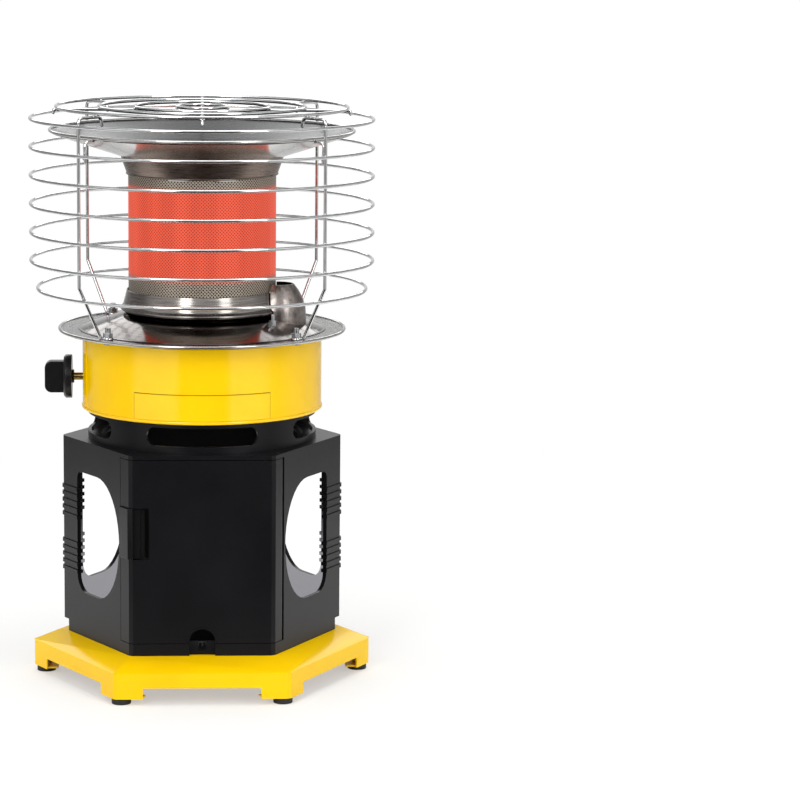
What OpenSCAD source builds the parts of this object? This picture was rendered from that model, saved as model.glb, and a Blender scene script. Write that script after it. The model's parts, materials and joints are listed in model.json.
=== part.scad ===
// Portable propane heater: hexagonal base and body, burner drum, mesh burner and wire guard.
// The cylinder stands in the body and screws up into the regulator in the drum.

/* [Base] */
// Height of the rubber feet
foot_h = 4.6; // [4:0.1:8]
// Radius of a foot
foot_r = 7; // [5:0.1:8]
// Distance that the base's corners reach past the body's
base_reach = 22.3; // [18:0.1:34]
// Sheet thickness of the base
base_t = 1.2; // [1:0.1:2]
// Height of the base's skirt at a corner
skirt_h = 19.2; // [16:0.1:26]
// Height that the skirt is cut up between the corners
recess_h = 8; // [4:0.1:10]
// Length of the corner pad along each side
pad_len = 20.5; // [18:0.5:34]
// Rise of the sloping top from the skirt to the body
base_rise = 8.2; // [6:0.1:12]

/* [Cylinder cup] */
// Inner radius of the cup that the cylinder stands in
cup_r = 52; // [50:0.5:56]
// Wall of the cup
cup_t = 2; // [1.5:0.1:3]
// Depth of the cup below the top of the base
cup_depth = 24.8; // [18:0.1:25]
// Radius of the drain hole in the cup's floor
drain_r = 14; // [12.5:0.1:30]

/* [Body] */
// Corner radius of the hexagonal body
body_r = 104; // [102:0.5:126]
// Height of the body
body_h = 147.3; // [144:0.1:200]
// Wall of the body and the door
wall_t = 3; // [2.5:0.1:3.5]
// Depth cut off each upright corner
corner_cut = 1; // [0.5:0.1:2]
// Distance from the body's faces to the round hole in its top and bottom
bay_inset = 19; // [16:0.1:22]
// Height of the plinth under the door
plinth_h = 8.8; // [7:0.1:12]
// Width of a cable arch at the foot of the body
arch_w = 18.8; // [14:0.1:24]
// Height of a cable arch
arch_h = 19.9; // [16:0.1:24]

/* [Hand openings] */
// Width of the post between two openings, along one face
post_w = 23.3; // [18:0.1:28]
// Greatest width of an opening
hand_w = 64.2; // [50:0.1:66]
// Height of an opening
hand_h = 90.4; // [70:0.1:100]
// Ridges in each group on a post
ridge_count = 5; // [3:1:6]
// Distance between ridges
ridge_pitch = 5.2; // [4:0.1:6]

/* [Door] */
// Distance that the door reaches round each front corner
door_wrap = 14.25; // [13:0.05:15]
// Gap round the door
seam = 0.5; // [0.3:0.1:1]
// Radius of the door's hinge barrel
barrel_r = 3.2; // [3:0.1:4]
// Radius of a hinge pin
pin_r = 1.5; // [1:0.1:1.8]
// Distance that the latch's window reaches round the corner
latch_reach = 13.6; // [12:0.1:18]
// Height of the latch's window
latch_h = 38; // [30:1:44]

/* [Collar] */
// Distance of the vent collar inside the body's faces
collar_inset = 5.5; // [4:0.1:8]
// Height of the vent collar
collar_h = 22.1; // [20:0.1:28]
// Wall and flanges of the vent collar
collar_t = 2.5; // [2:0.1:3]
// Height of a vent slot
slot_h = 13.6; // [10:0.1:14]

/* [Drum] */
// Distance that the drum stands out past the collar
drum_reach = 3.9; // [3:0.1:8]
// Height of the drum
drum_h = 54.6; // [50:0.1:64]
// Sheet thickness of the drum
drum_t = 1; // [0.8:0.1:1.5]
// Height of the plate on the drum's front
plate_h = 21.4; // [16:0.1:28]
// Height of the knob's axis above the drum's lower edge
knob_lift = 22; // [21:0.1:24]

/* [Pan] */
// Distance that the drip pan reaches past the drum
pan_reach = 17.8; // [14:0.1:24]
// Sheet thickness of the pan
pan_t = 1; // [0.8:0.1:1.4]
// Height of the pan's rim above its floor
pan_depth = 4.3; // [3:0.1:8]
// Distance of the guard's bolts outside the drum's wall
bolt_reach = 7.4; // [6.6:0.1:8]

/* [Burner] */
// Outer radius of the burner mesh
mesh_r = 54.4; // [52:0.1:66]
// Height of the burner mesh
mesh_h = 105; // [95:0.1:140]
// Distance that the lower reflector stands out past the mesh
reflector_reach = 6; // [5:0.1:7]
// Height of the lower reflector
reflector_h = 14.5; // [12:0.1:18]
// Height of the bowl under the reflector
bowl_h = 16.2; // [15:0.1:20]
// Height of the mirror cone above the pan's rim
cone_rise = 11.2; // [8:0.1:12]
// Distance that the upper collar's flared edge stands out past the mesh
flare_reach = 5.4; // [5:0.1:8]
// Distance of the top dish's edge inside the guard rings
dish_inset = 13.2; // [10:0.1:20]
// Rise of the dish from its floor to its rolled rim
dish_rise = 17; // [12:0.1:22]

/* [Guard] */
// Distance of the guard rings outside the pan's edge, to the wire's middle
guard_reach = 19.7; // [16:0.1:26]
// Distance of the lowest ring inside the others
low_ring_inset = 4.9; // [4:0.1:6]
// Number of guard rings
ring_count = 7; // [4:1:7]
// Distance between guard rings
ring_pitch = 20.8; // [16:0.1:21]
// Radius of the wire
wire_r = 1.2; // [1:0.05:1.5]
// Distance of the top grate's outer ring inside the guard rings
grate_inset = 19; // [16:0.1:22]
// Height of the grate's rings above the dish's rim
grate_lift = 15.9; // [15:0.1:20]

/* [Knob] */
// Radius of the knob's flange
knob_r = 16.2; // [12:0.1:18]
// Height of the knob's grip
grip_h = 23.3; // [18:0.1:26]
// Thickness of the knob's grip
grip_w = 10; // [8:0.1:12]
// Radius of the valve stem
stem_r = 2.8; // [2.4:0.05:3.4]
// Travel of the knob when it is pushed
push = 2.5; // [2:0.1:3]

/* [Regulator] */
// Radius of the thread that takes the cylinder
inlet_r = 12.2; // [11:0.1:13]
// Depth of that thread
inlet_depth = 12; // [10:0.1:13]

/* [Hidden] */
$fn = 96;

// Clearances: a pin that turns in its bore, and pieces that only lie beside each other
run = 0.05;
gap = 0.3;
hex_cos = cos(30);
corners = [0:60:300];
quarters = [45:90:315];
thirds = [30:120:270];

// Radii, each set by the piece that it fits
face_n = body_r * hex_cos;
base_r = body_r + base_reach;
bay_r = face_n - bay_inset;
collar_r = face_n - collar_inset;
drum_r = collar_r + drum_reach;
pan_r = drum_r + pan_reach;
bolt_circle_r = drum_r + bolt_reach;
guard_r = pan_r + guard_reach;
low_ring_r = guard_r - low_ring_inset;
dish_r = guard_r - dish_inset;
grate_r = guard_r - grate_inset;
reflector_r = mesh_r + reflector_reach;
flare_r = mesh_r + flare_reach;

// Heights, from the ground up
bead_r = 1.2;
skirt_top_z = foot_h + skirt_h;
base_top_z = skirt_top_z + base_rise;
door_low_z = base_top_z + plinth_h;
body_top_z = base_top_z + body_h;
door_top_z = body_top_z - wall_t;
collar_top_z = body_top_z + collar_h;
drum_top_z = collar_top_z + drum_h;
pan_z = drum_top_z + pan_t;
rim_z = pan_z + pan_depth - bead_r;
bowl_top_z = pan_z + bowl_h + pan_t;
ledge_t = 0.8;
mesh_low_z = bowl_top_z + ledge_t;
mesh_top_z = mesh_low_z + mesh_h;
flare_h = 7.7;
dish_low_z = mesh_top_z + flare_h;
sheet_t = 0.8;
rod_r = 2.4;
dish_bead_z = dish_low_z + 2 * sheet_t + run + dish_rise;
dish_rim_z = dish_bead_z + bead_r;
grate_z = dish_rim_z + grate_lift;
knob_z = collar_top_z + knob_lift;

// Base
top_hex_r = body_r + 1.5;
slope_drop = base_t / cos(atan(base_rise / ((base_r - top_hex_r) * hex_cos)));
foot_circle_r = base_r - foot_r - 2.6;
foot_hole_r = 2.1;
foot_screw_r = 2;
tab_in = foot_circle_r - foot_r - 2.4;
tab_w = 2 * foot_r + 16;
cup_flange_r = bay_r - 1;
cup_low_z = base_top_z - cup_depth;
cup_screw_circle_r = (cup_r + cup_t + cup_flange_r) / 2;
body_screw_circle_r = (bay_r + (body_r - wall_t) * hex_cos) / 2 + 7;

// Body and door, measured along a face from its middle (u) and out of the face (n)
seam_u = body_r / 2 - door_wrap;
flange_t = 2.5;
hand_left_u = body_r / 2 - post_w;
hand_mid_z = base_top_z + 78.6;
hand_curve_w = 33.5;
ridge_h = 2.6;
ridge_proud = 1;
ridge_group_z = [base_top_z + 99, base_top_z + 58];
latch_low_z = base_top_z + 71;
latch_top_z = latch_low_z + latch_h;
latch_end_x = latch_reach - body_r / 2;
lever_end_x = latch_end_x - 6.3;
lever_proud = 1.6;
skin_end_x = lever_end_x - 5.3;
latch_wall_y = -(face_n - wall_t) + gap;
nose_y = latch_wall_y + 18.8;
plate_d = 2.5;
hinge_at = face_point(330, -seam_u - barrel_r, -barrel_r);
pin_len = 12;

// Collar slots: middle and half width of each, in degrees
slots = [[270, 28.5], [190, 28.5], [350, 28.5], [123, 24], [57, 24]];
slot_low_z = body_top_z + (collar_h - slot_h) / 2 + 0.9;
collar_screw_r = collar_r - 6.6;

// Gas train, with the valve in the middle of the drum
inlet_z = collar_top_z - 2.4;
strap_z = collar_top_z + drum_t;
strap_t = 1.6;
strap_w = 24;
cup_wall = 3.8;
seal_h = 2;
valve_low_z = inlet_z + inlet_depth + seal_h + 3;
valve_top_z = knob_z + 7.6;
valve_half = 15;
bush_r = 6;
bush_end_x = -62;
stem_in = 20;
cap_x = -76;
cap_t = 1.5;
hub_x = -(drum_r + 6.3);
disc_x = hub_x - 1.5;
grip_x = disc_x - 6.1;
grip_root = 1;
knob_end_x = grip_x - 14;
tilt_at = [0, 48, strap_z + strap_t + 20];

// Pilot, in a hood at the front right of the burner
pilot_az = -12;
hood_axis_r = mesh_r + 2.6;
hood_profile = [[20.5, 0], [20.8, 12], [20.3, 20], [18.2, 27], [15, 33], [11.6, 37.5]];
pilot_r = mesh_r + 15.6;
pilot_side = 7;
stud_az = -40;
stud_r = reflector_r + 6.6;

// Guard
upright_r = guard_r - 2 * wire_r + 0.05;
ring_top_z = grate_z - 8.5;
arm_z = grate_z - 2 * wire_r - run;
foot_wire_z = rim_z + wire_r;
eye_r = 3.9;

function face_point(angle, u, n) =
    (face_n + n) * [cos(angle), sin(angle)] + u * [-sin(angle), cos(angle)];
function ring_z(i) = ring_top_z - i * ring_pitch;
function ring_radius(i) = i < ring_count - 1 ? guard_r : low_ring_r;
// A sheet's outline: the path, and back again at the other face
function sheet(path, dr, dz) =
    concat(path, [for (i = [len(path) - 1:-1:0]) path[i] + [dr, dz]]);
// A point out at radius r and to the side by s, at the pilot's angle
function at_pilot(r, s, z) =
    [r * cos(pilot_az) - s * sin(pilot_az), r * sin(pilot_az) + s * cos(pilot_az), z];

function unit(v) = v / norm(v);
function square_to(v, axis) = unit(v - (v * axis) * axis);
function rounded(p, bend) = concat([p[0]],
    [for (i = [1:1:len(p) - 2], t = [0:0.25:1]) let (
        a = p[i] + bend * unit(p[i - 1] - p[i]),
        b = p[i] + bend * unit(p[i + 1] - p[i]))
        (1 - t) * (1 - t) * a + 2 * t * (1 - t) * p[i] + t * t * b],
    [p[len(p) - 1]]);

module hexagon(r, cut = 0) {
    intersection() {
        circle(r, $fn = 6);
        rotate(30) circle((r - cut) / hex_cos, $fn = 6);
    }
}

module at_height(z, h) {
    translate([0, 0, z]) linear_extrude(h) children();
}

module tube(z, h, outer, inner) {
    at_height(z, h) difference() {
        circle(outer);
        circle(inner);
    }
}

module rod(a, b, r) {
    v = b - a;
    translate(a) rotate([0, acos(v[2] / norm(v)), atan2(v[1], v[0])]) cylinder(h = norm(v), r = r);
}

// A wire or pipe through the points, with each bend rounded off over the distance bend
module wire(points, r, bend, side, sides = 8) {
    sweep(rounded(points, bend), r, side, sides);
}

// A solid of the given radius along a path; side is a direction across its first stretch
module sweep(path, r, side, sides) {
    n = len(path);
    along = [for (i = [0:n - 1]) unit(path[min(i + 1, n - 1)] - path[max(i - 1, 0)])];
    across = [for (i = 0, v = square_to(side, along[0]); i < n; i = i + 1,
        v = i < n ? square_to(v, along[i]) : v) v];
    points = [for (i = [0:n - 1], k = [0:sides - 1]) let (a = 360 * k / sides)
        path[i] + r * (cos(a) * across[i] + sin(a) * cross(along[i], across[i]))];
    walls = [for (i = [0:n - 2], k = [0:sides - 1]) let (next = (k + 1) % sides)
        [i * sides + k, (i + 1) * sides + k, (i + 1) * sides + next, i * sides + next]];
    ends = [[for (k = [0:sides - 1]) k], [for (k = [sides - 1:-1:0]) (n - 1) * sides + k]];
    polyhedron(points, concat(walls, ends));
}

// A ring of wire about the heater's axis
module hoop(r, z) {
    translate([0, 0, z]) rotate_extrude() translate([r, 0]) circle(wire_r, $fn = 32);
}

// A cross-head screw that points up, with its head below z = 0
module screw(len, r, head_r, head_h) {
    difference() {
        union() {
            cylinder(h = len, r = r);
            translate([0, 0, -head_h]) cylinder(h = head_h, r = head_r);
        }
        for (a = [0, 90]) rotate(a) translate([-head_r * 0.6, -0.4, -head_h - 0.01])
            cube([head_r * 1.2, 0.8, 0.8]);
    }
}

module hex_nut(r, h, hole_r) {
    difference() {
        cylinder(h = h, r = r, $fn = 6);
        translate([0, 0, -1]) cylinder(h = h + 2, r = hole_r);
    }
}

module round_spots(angles, r, z) {
    for (a = angles) rotate(a) translate([r, 0, z]) children();
}

// ---- Base ----
module tray_block() {
    at_height(foot_h, skirt_h) hexagon(base_r, corner_cut);
    translate([0, 0, skirt_top_z]) cylinder(h = base_rise, r1 = base_r, r2 = top_hex_r, $fn = 6);
}

module base_tray() {
    color("gold") difference() {
        union() {
            difference() {
                tray_block();
                intersection() {
                    translate([0, 0, -slope_drop]) tray_block();
                    at_height(0, base_top_z) hexagon(base_r - base_t / hex_cos);
                }
                for (a = corners) rotate(a + 30) translate([base_r * hex_cos - 3, pad_len - base_r / 2, 0])
                    cube([6, base_r - 2 * pad_len, foot_h + recess_h]);
            }
            intersection() {
                at_height(foot_h, base_t) hexagon(base_r - base_t, corner_cut);
                for (a = corners) rotate(a) translate([tab_in, -tab_w / 2, foot_h])
                    cube([base_r - tab_in, tab_w, base_t]);
            }
        }
        round_spots(corners, foot_circle_r, 0) cylinder(h = foot_h + 2 * base_t, r = foot_hole_r);
        round_spots(corners, body_screw_circle_r, base_top_z - 3) cylinder(h = 4, r = 1.7);
        round_spots(thirds, cup_screw_circle_r, base_top_z - 3) cylinder(h = 4, r = 1.6);
        cylinder(h = base_top_z + 1, r = cup_r + cup_t + gap);
    }
}

module rubber_feet() {
    color("#202020") round_spots(corners, foot_circle_r, 0) difference() {
        union() {
            cylinder(h = foot_h - 1.2, r = foot_r);
            translate([0, 0, foot_h - 1.2]) cylinder(h = 1.2, r1 = foot_r, r2 = foot_r - 0.8);
        }
        translate([0, 0, -1]) cylinder(h = foot_h + 2, r = foot_hole_r);
        translate([0, 0, -1]) cylinder(h = 2.8, r = foot_screw_r * 2);
    }
}

module foot_screws() {
    color("silver") round_spots(corners, foot_circle_r, 1.8) screw(9, foot_screw_r, 3.6, 1.4);
}

module foot_nuts() {
    color("silver") round_spots(corners, foot_circle_r, foot_h + base_t) hex_nut(4, 3, foot_screw_r + run);
}

module cylinder_cup() {
    outer = cup_r + cup_t;
    color("#262626") difference() {
        rotate_extrude() difference() {
            polygon([[0, cup_low_z], [outer, cup_low_z], [outer, base_top_z], [cup_flange_r, base_top_z],
                [cup_flange_r, base_top_z + cup_t], [0, base_top_z + cup_t]]);
            translate([-1, cup_low_z + cup_t + 0.4]) square([cup_r + 1, cup_depth + cup_t]);
        }
        translate([0, 0, cup_low_z - 1]) cylinder(h = cup_t + 3, r = drain_r);
        round_spots(thirds, cup_screw_circle_r, base_top_z - 1) cylinder(h = cup_t + 2, r = 1.7);
    }
}

module cup_screws() {
    color("silver") round_spots(thirds, cup_screw_circle_r, base_top_z + cup_t)
        mirror([0, 0, 1]) screw(cup_t + 3, 1.5, 2.8, 1.6);
}

// ---- Body ----
// One hand opening, drawn on a face: straight beside the post and round towards the door
function hand_outline() = let (
        top = hand_mid_z + hand_h / 2,
        low = hand_mid_z - hand_h / 2,
        mid_u = -hand_left_u + hand_w - hand_curve_w)
    concat(
        [for (t = [-90:9:90]) [mid_u + hand_curve_w * cos(t), hand_mid_z + hand_h / 2 * sin(t)]],
        [for (t = [90:15:180]) [-hand_left_u + 6 + 6 * cos(t), top - 6 + 6 * sin(t)]],
        [for (t = [180:15:270]) [-hand_left_u + 13 + 13 * cos(t), low + 13 + 13 * sin(t)]]);

module hand_opening(angle, flip) {
    rotate(angle) translate([face_n - 12, 0, 0]) rotate([90, 0, 90]) linear_extrude(20)
        mirror([flip, 0]) polygon(hand_outline());
}

module arch_outline(grow) {
    w = arch_w + 2 * grow;
    translate([-w / 2, base_top_z - 1]) square([w, arch_h + grow - w / 2 + 1]);
    translate([0, base_top_z + arch_h + grow - w / 2]) circle(w / 2);
}

// A slab of an arch at the front (angle 0) or back (angle 180), from depth n0 to n1 out of the face
module arch(angle, grow, n0, n1) {
    rotate(angle) translate([0, -(face_n + n0), 0]) rotate([90, 0, 0]) linear_extrude(n1 - n0)
        arch_outline(grow);
}

// Plan of the space that the door fills, with its edges moved out by grow
module door_zone(grow, barrel_back) {
    left_u = seam_u - grow;
    right_u = grow - seam_u - barrel_back;
    polygon([face_point(210, left_u, 12), face_point(210, left_u, -wall_t - 8),
        face_point(330, right_u, -wall_t - 8), face_point(330, right_u, 12), [0, -2 * body_r]]);
}

module post_zone() {
    u = body_r / 2 - post_w - ridge_proud;
    polygon([face_point(210, -u, 6), face_point(210, -u, -wall_t - ridge_proud),
        face_point(150, u, -wall_t - ridge_proud), face_point(150, u, 6), [-2 * body_r, 0]]);
}

module ridges() {
    for (z = ridge_group_z, i = [0:ridge_count - 1])
        at_height(z + (i - (ridge_count - 1) / 2) * ridge_pitch - ridge_h / 2, ridge_h) intersection() {
            difference() {
                hexagon(body_r + ridge_proud, corner_cut);
                hexagon(body_r - (wall_t + ridge_proud) / hex_cos);
            }
            post_zone();
        }
}

module body_shell() {
    color("#242426") difference() {
        union() {
            difference() {
                at_height(base_top_z, body_h) hexagon(body_r, corner_cut);
                at_height(base_top_z + flange_t, body_h - flange_t - wall_t)
                    hexagon(body_r - wall_t / hex_cos);
                at_height(base_top_z - 1, body_h + 2) circle(bay_r);
                for (f = [[210, 0], [150, 1], [330, 1], [30, 0]]) hand_opening(f[0], f[1]);
                at_height(door_low_z, door_top_z - door_low_z) door_zone(seam / 2, 0);
            }
            for (side = [0, 1]) mirror([side, 0, 0]) ridges();
            intersection() {
                translate([hinge_at[0], hinge_at[1], base_top_z]) cylinder(h = plinth_h, r = barrel_r + 1);
                at_height(base_top_z, body_h) hexagon(body_r, corner_cut);
            }
            difference() {
                arch(180, 1.2, -1, 0.6);
                at_height(0, base_top_z) square(3 * body_r, center = true);
            }
        }
        for (a = [0, 180]) arch(a, 0, -wall_t - 1, 2);
        for (a = [0, 180]) rotate(a) translate([body_r - corner_cut - 3.4, -10, base_top_z - 1])
            cube([10, 20, plinth_h + 1]);
        translate([hinge_at[0], hinge_at[1], base_top_z + flange_t]) cylinder(h = body_h, r = pin_r + 0.02);
        round_spots(corners, body_screw_circle_r, base_top_z - 1) cylinder(h = flange_t + 2, r = 1.6);
        round_spots(quarters, collar_screw_r, body_top_z - wall_t - 1) cylinder(h = wall_t + 2, r = 1.6);
    }
}

module body_screws() {
    color("silver") round_spots(corners, body_screw_circle_r, base_top_z - slope_drop)
        screw(slope_drop + flange_t + 2, 1.5, 2.8, 1.6);
}

module front_door() {
    low = door_low_z + seam;
    h = door_top_z - seam - low;
    color("#232325") difference() {
        union() {
            at_height(low, h) {
                intersection() {
                    difference() {
                        hexagon(body_r, corner_cut);
                        hexagon(body_r - wall_t / hex_cos);
                    }
                    door_zone(-seam / 2, barrel_r);
                }
                translate(hinge_at) circle(barrel_r);
            }
            // latch guide: a back wall, and ribs that tie it to the door
            translate([latch_end_x - 3.6, latch_wall_y + plate_d + gap, latch_low_z - 4])
                cube([8, 2, latch_h + 8]);
            translate([latch_end_x + 4, -(face_n - 1), latch_low_z - 4])
                cube([2, face_n - 1 + latch_wall_y + plate_d + gap + 2, latch_h + 8]);
            for (z = [latch_low_z - 4, latch_top_z + 2]) translate([latch_end_x - 3.6, -(face_n - 1), z])
                cube([9, face_n - 1 + latch_wall_y + plate_d + gap + 2, 2]);
            difference() {
                arch(0, 1.2, -1, 0.6);
                at_height(0, low) square(3 * body_r, center = true);
            }
        }
        arch(0, 0, -wall_t - 1, 2);
        translate([latch_end_x - 40, -body_r, latch_low_z]) cube([40, body_r / 3, latch_h]);
        translate([hinge_at[0], hinge_at[1], low - 1]) cylinder(h = pin_len + 2, r = pin_r + run);
        translate([hinge_at[0], hinge_at[1], door_top_z - seam - pin_len - 1])
            cylinder(h = pin_len + 2, r = pin_r + run);
    }
}

module hinge_pins() {
    color("silver") translate(concat(hinge_at, 0)) {
        translate([0, 0, base_top_z + flange_t]) cylinder(h = plinth_h - flange_t + pin_len, r = pin_r);
        translate([0, 0, door_top_z - pin_len]) cylinder(h = pin_len + wall_t, r = pin_r);
    }
}

module door_latch() {
    low = latch_low_z + gap;
    h = latch_h - 2 * gap;
    arm_x = lever_end_x - 7.3;
    lever_u = seam_u + seam / 2 + gap;
    mid_z = (latch_low_z + latch_top_z) / 2;
    color("#1c1c1e") {
        at_height(low, h) intersection() {
            difference() {
                hexagon(body_r + lever_proud, corner_cut);
                hexagon(body_r - wall_t / hex_cos - 0.3);
            }
            polygon([face_point(210, lever_u, 9), face_point(210, lever_u, -wall_t - 1),
                [skin_end_x, latch_wall_y + 1], [skin_end_x, -2 * body_r]]);
        }
        translate([arm_x, latch_wall_y - 1.2, low]) cube([lever_end_x - arm_x, plate_d + 1.2, h]);
        translate([arm_x + 2, latch_wall_y, latch_low_z - 1.5])
            cube([lever_end_x + 1.4 - arm_x, plate_d, latch_h + 3]);
        translate([arm_x, latch_wall_y, mid_z - 6]) cube([4, nose_y - latch_wall_y, 12]);
        translate([arm_x - 4, nose_y - 3, mid_z - 6]) cube([5, 3, 12]);
    }
}

// ---- Collar ----
// A slot with round ends; its straight stretch is a hair lower than the ends are high
module vent_slot(middle, half) {
    end = asin((slot_h / 2) / collar_r);
    round_r = slot_h / 2;
    rotate(middle - half + end) rotate_extrude(angle = 2 * (half - end))
        translate([collar_r - 8, slot_low_z + 0.05]) square([16, slot_h - 0.1]);
    for (side = [-1, 1]) rotate(middle + side * (half - end))
        translate([collar_r - 8, 0, slot_low_z + round_r]) rotate([0, 90, 0]) cylinder(h = 16, r = round_r);
}

module vent_collar() {
    inner = collar_r - 10;
    color("#1f1f21") difference() {
        rotate_extrude() {
            translate([collar_r - collar_t, body_top_z]) square([collar_t, collar_h]);
            for (z = [body_top_z, collar_top_z - collar_t]) translate([inner, z])
                square([collar_r - inner, collar_t]);
        }
        for (s = slots) vent_slot(s[0], s[1]);
        round_spots(quarters, collar_screw_r, body_top_z - 1) cylinder(h = collar_t + 2, r = 1.7);
        for (angles = [quarters, [90, 270]]) round_spots(angles, collar_screw_r, collar_top_z - collar_t - 1)
            cylinder(h = collar_t + 2, r = 1.6);
    }
}

module collar_screws() {
    color("silver") round_spots(quarters, collar_screw_r, body_top_z + collar_t)
        mirror([0, 0, 1]) screw(collar_t + wall_t + 2, 1.5, 2.8, 1.6);
}

// ---- Drum ----
module burner_housing() {
    low_in = collar_r - 11;
    top_in = stud_r - 5;
    color("gold") difference() {
        rotate_extrude() {
            translate([drum_r - drum_t, collar_top_z]) square([drum_t, drum_h]);
            translate([low_in, collar_top_z]) square([drum_r - low_in, drum_t]);
            translate([top_in, drum_top_z - drum_t]) square([drum_r - top_in, drum_t]);
        }
        translate([0, 0, knob_z]) rotate([0, -90, 0]) cylinder(h = drum_r + 5, r = stem_r + 1.2);
        round_spots(quarters, collar_screw_r, collar_top_z - 1) cylinder(h = 4, r = 1.7);
        for (side = [-1, 1]) translate([0, side * collar_screw_r, collar_top_z - 1]) cylinder(h = 4, r = 1.6);
        for (side = [-1, 0, 1]) translate(at_pilot(pilot_r, side * pilot_side, drum_top_z - 2))
            cylinder(h = 4, r = 4.2);
        rotate(stud_az) translate([stud_r, 0, drum_top_z - 2]) cylinder(h = 4, r = 1.6);
    }
}

module housing_plate() {
    half = 33.3;
    color("gold") rotate(270 - half) rotate_extrude(angle = 2 * half) translate([drum_r + run, collar_top_z])
        square([0.5, plate_h]);
}

module housing_screws() {
    color("silver") round_spots(quarters, collar_screw_r, collar_top_z + drum_t)
        mirror([0, 0, 1]) screw(drum_t + collar_t + 2, 1.5, 2.8, 1.6);
}

// ---- Pan ----
module heat_pan() {
    rim_r = pan_r - bead_r;
    color("#b9bcc0") difference() {
        rotate_extrude() {
            polygon(sheet([[12, drum_top_z], [drum_r - 1, drum_top_z], [drum_r + 2, rim_z - pan_t],
                [rim_r, rim_z - pan_t]], 0, pan_t));
            translate([rim_r, rim_z]) circle(bead_r, $fn = 32);
        }
        round_spots(quarters, bolt_circle_r, rim_z - 2) cylinder(h = 4, r = 2.1);
        rotate(stud_az) translate([stud_r, 0, pan_z - 2]) cylinder(h = 4, r = 1.6);
        translate(at_pilot(pilot_r, 0, pan_z - 2)) cylinder(h = 4, r = 3.2);
        for (side = [-1, 1]) translate(at_pilot(pilot_r, side * pilot_side, pan_z - 2))
            cylinder(h = 4, r = 2.2);
    }
}

// A polished cone on the pan throws the burner's heat outwards; the pilot's hood stands in a notch in it
module pan_cone() {
    color("#8c8a87") difference() {
        rotate_extrude() polygon(sheet([[mesh_r + 2.6, rim_z + cone_rise], [drum_r + 1, rim_z],
            [drum_r + 2.7, rim_z]], 0, sheet_t));
        translate(at_pilot(hood_axis_r, 0, pan_z)) cylinder(h = 25, r = hood_profile[1][0] + 0.5);
        rotate(stud_az) translate([stud_r, 0, pan_z]) cylinder(h = 25, r = 3.4);
    }
}

module pan_bolts() {
    color("silver") round_spots(quarters, bolt_circle_r, rim_z - pan_t) screw(pan_t + 9, 2, 3.1, 2.4);
}

module pan_nuts() {
    color("silver") round_spots(quarters, bolt_circle_r, rim_z + 2) hex_nut(3.7, 3.2, 2 + run);
}

module pan_stud() {
    color("silver") rotate(stud_az) translate([stud_r, 0, pan_z]) {
        translate([0, 0, -pan_t - drum_t - 1.6]) cylinder(h = 1.6, r = 2.8);
        translate([0, 0, -pan_t - drum_t - 1]) cylinder(h = pan_t + drum_t + cone_rise + 8.3, r = 1.5);
        cylinder(h = cone_rise + 3, r = 3, $fn = 6);
    }
}

// ---- Guard ----
module guard_rings() {
    color("#d4d6d8") for (i = [0:ring_count - 1]) hoop(ring_radius(i), ring_z(i));
}

module guard_uprights() {
    bend_z = ring_z(ring_count - 1) + 9.5;
    color("#d4d6d8") for (a = quarters) rotate(a) {
        wire([[bolt_circle_r + eye_r + 0.02, 0, foot_wire_z], [bolt_circle_r + eye_r + 2.8, 0, foot_wire_z],
            [upright_r, 0, bend_z], [upright_r, 0, arm_z], [grate_r - 5, 0, arm_z],
            [grate_r - 6.2, 0, arm_z - 6]], wire_r, 2.6, [0, 1, 0]);
        difference() {
            translate([bolt_circle_r, 0, rim_z]) cylinder(h = 2, r = eye_r);
            translate([bolt_circle_r, 0, rim_z - 1]) cylinder(h = 4, r = 2.1);
        }
    }
}

module dish_clips() {
    side = 2 * wire_r - 0.05;
    top_z = dish_bead_z - bead_r - wire_r - run;
    color("#d4d6d8") for (a = quarters) rotate(a)
        wire([[upright_r - 4.5, side, top_z - 14], [upright_r - 3.5, side, top_z],
            [dish_r - bead_r, side, top_z]], wire_r, 2, [0, 1, 0]);
}

module top_grate() {
    hoops = [grate_r, grate_r - 31.4, grate_r - 57.6, grate_r - 88.1];
    spoke_z = grate_z - 2 * wire_r - 0.02;
    color("#d4d6d8") {
        for (r = hoops) hoop(r, grate_z);
        for (a = [0:90:270]) rotate(a) wire([[hoops[3] - 2, 0, spoke_z], [grate_r + 1.6, 0, spoke_z],
            [grate_r + 2, 0, spoke_z - 4]], wire_r, 1.5, [0, 1, 0]);
    }
}

// ---- Burner ----
module burner_bowl() {
    path = [[12, pan_z], [reflector_r - 18.3, pan_z], [reflector_r - 5.3, pan_z + bowl_h]];
    color("#3a3634") rotate_extrude() polygon(sheet(path, 0, pan_t));
}

module burner_head() {
    low = pan_z + pan_t;
    color("#4a4542") difference() {
        rotate_extrude() polygon([[11.4, low], [38, low], [38, low + 9], [30, low + 14], [2.5, low + 17],
            [2.5, low + 15.4], [29, low + 12.4], [36.4, low + 8], [36.4, low + 1.6], [11.4, low + 1.6]]);
        for (a = [0:15:345]) rotate(a) translate([30, 0, low + 5]) rotate([0, 90, 0])
            cylinder(h = 10, r = 1.5);
    }
}

module mixing_tube() {
    low = valve_top_z + 9;
    color("#8d8f92") difference() {
        union() {
            tube(low, pan_z + 8 - low, 11, 10);
            tube(drum_top_z - 1.2, 1.2, 20, 10);
        }
        for (a = quarters) rotate(a) translate([5, 0, low + 6]) rotate([0, 90, 0]) cylinder(h = 10, r = 3);
    }
}

module inner_screen() {
    color("#8a4a38") tube(mesh_low_z, mesh_h, mesh_r - 8.4, mesh_r - 9.2);
}

module burner_mesh() {
    color("#ef5b40") tube(mesh_low_z, mesh_h, mesh_r, mesh_r - 0.6);
}

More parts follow.
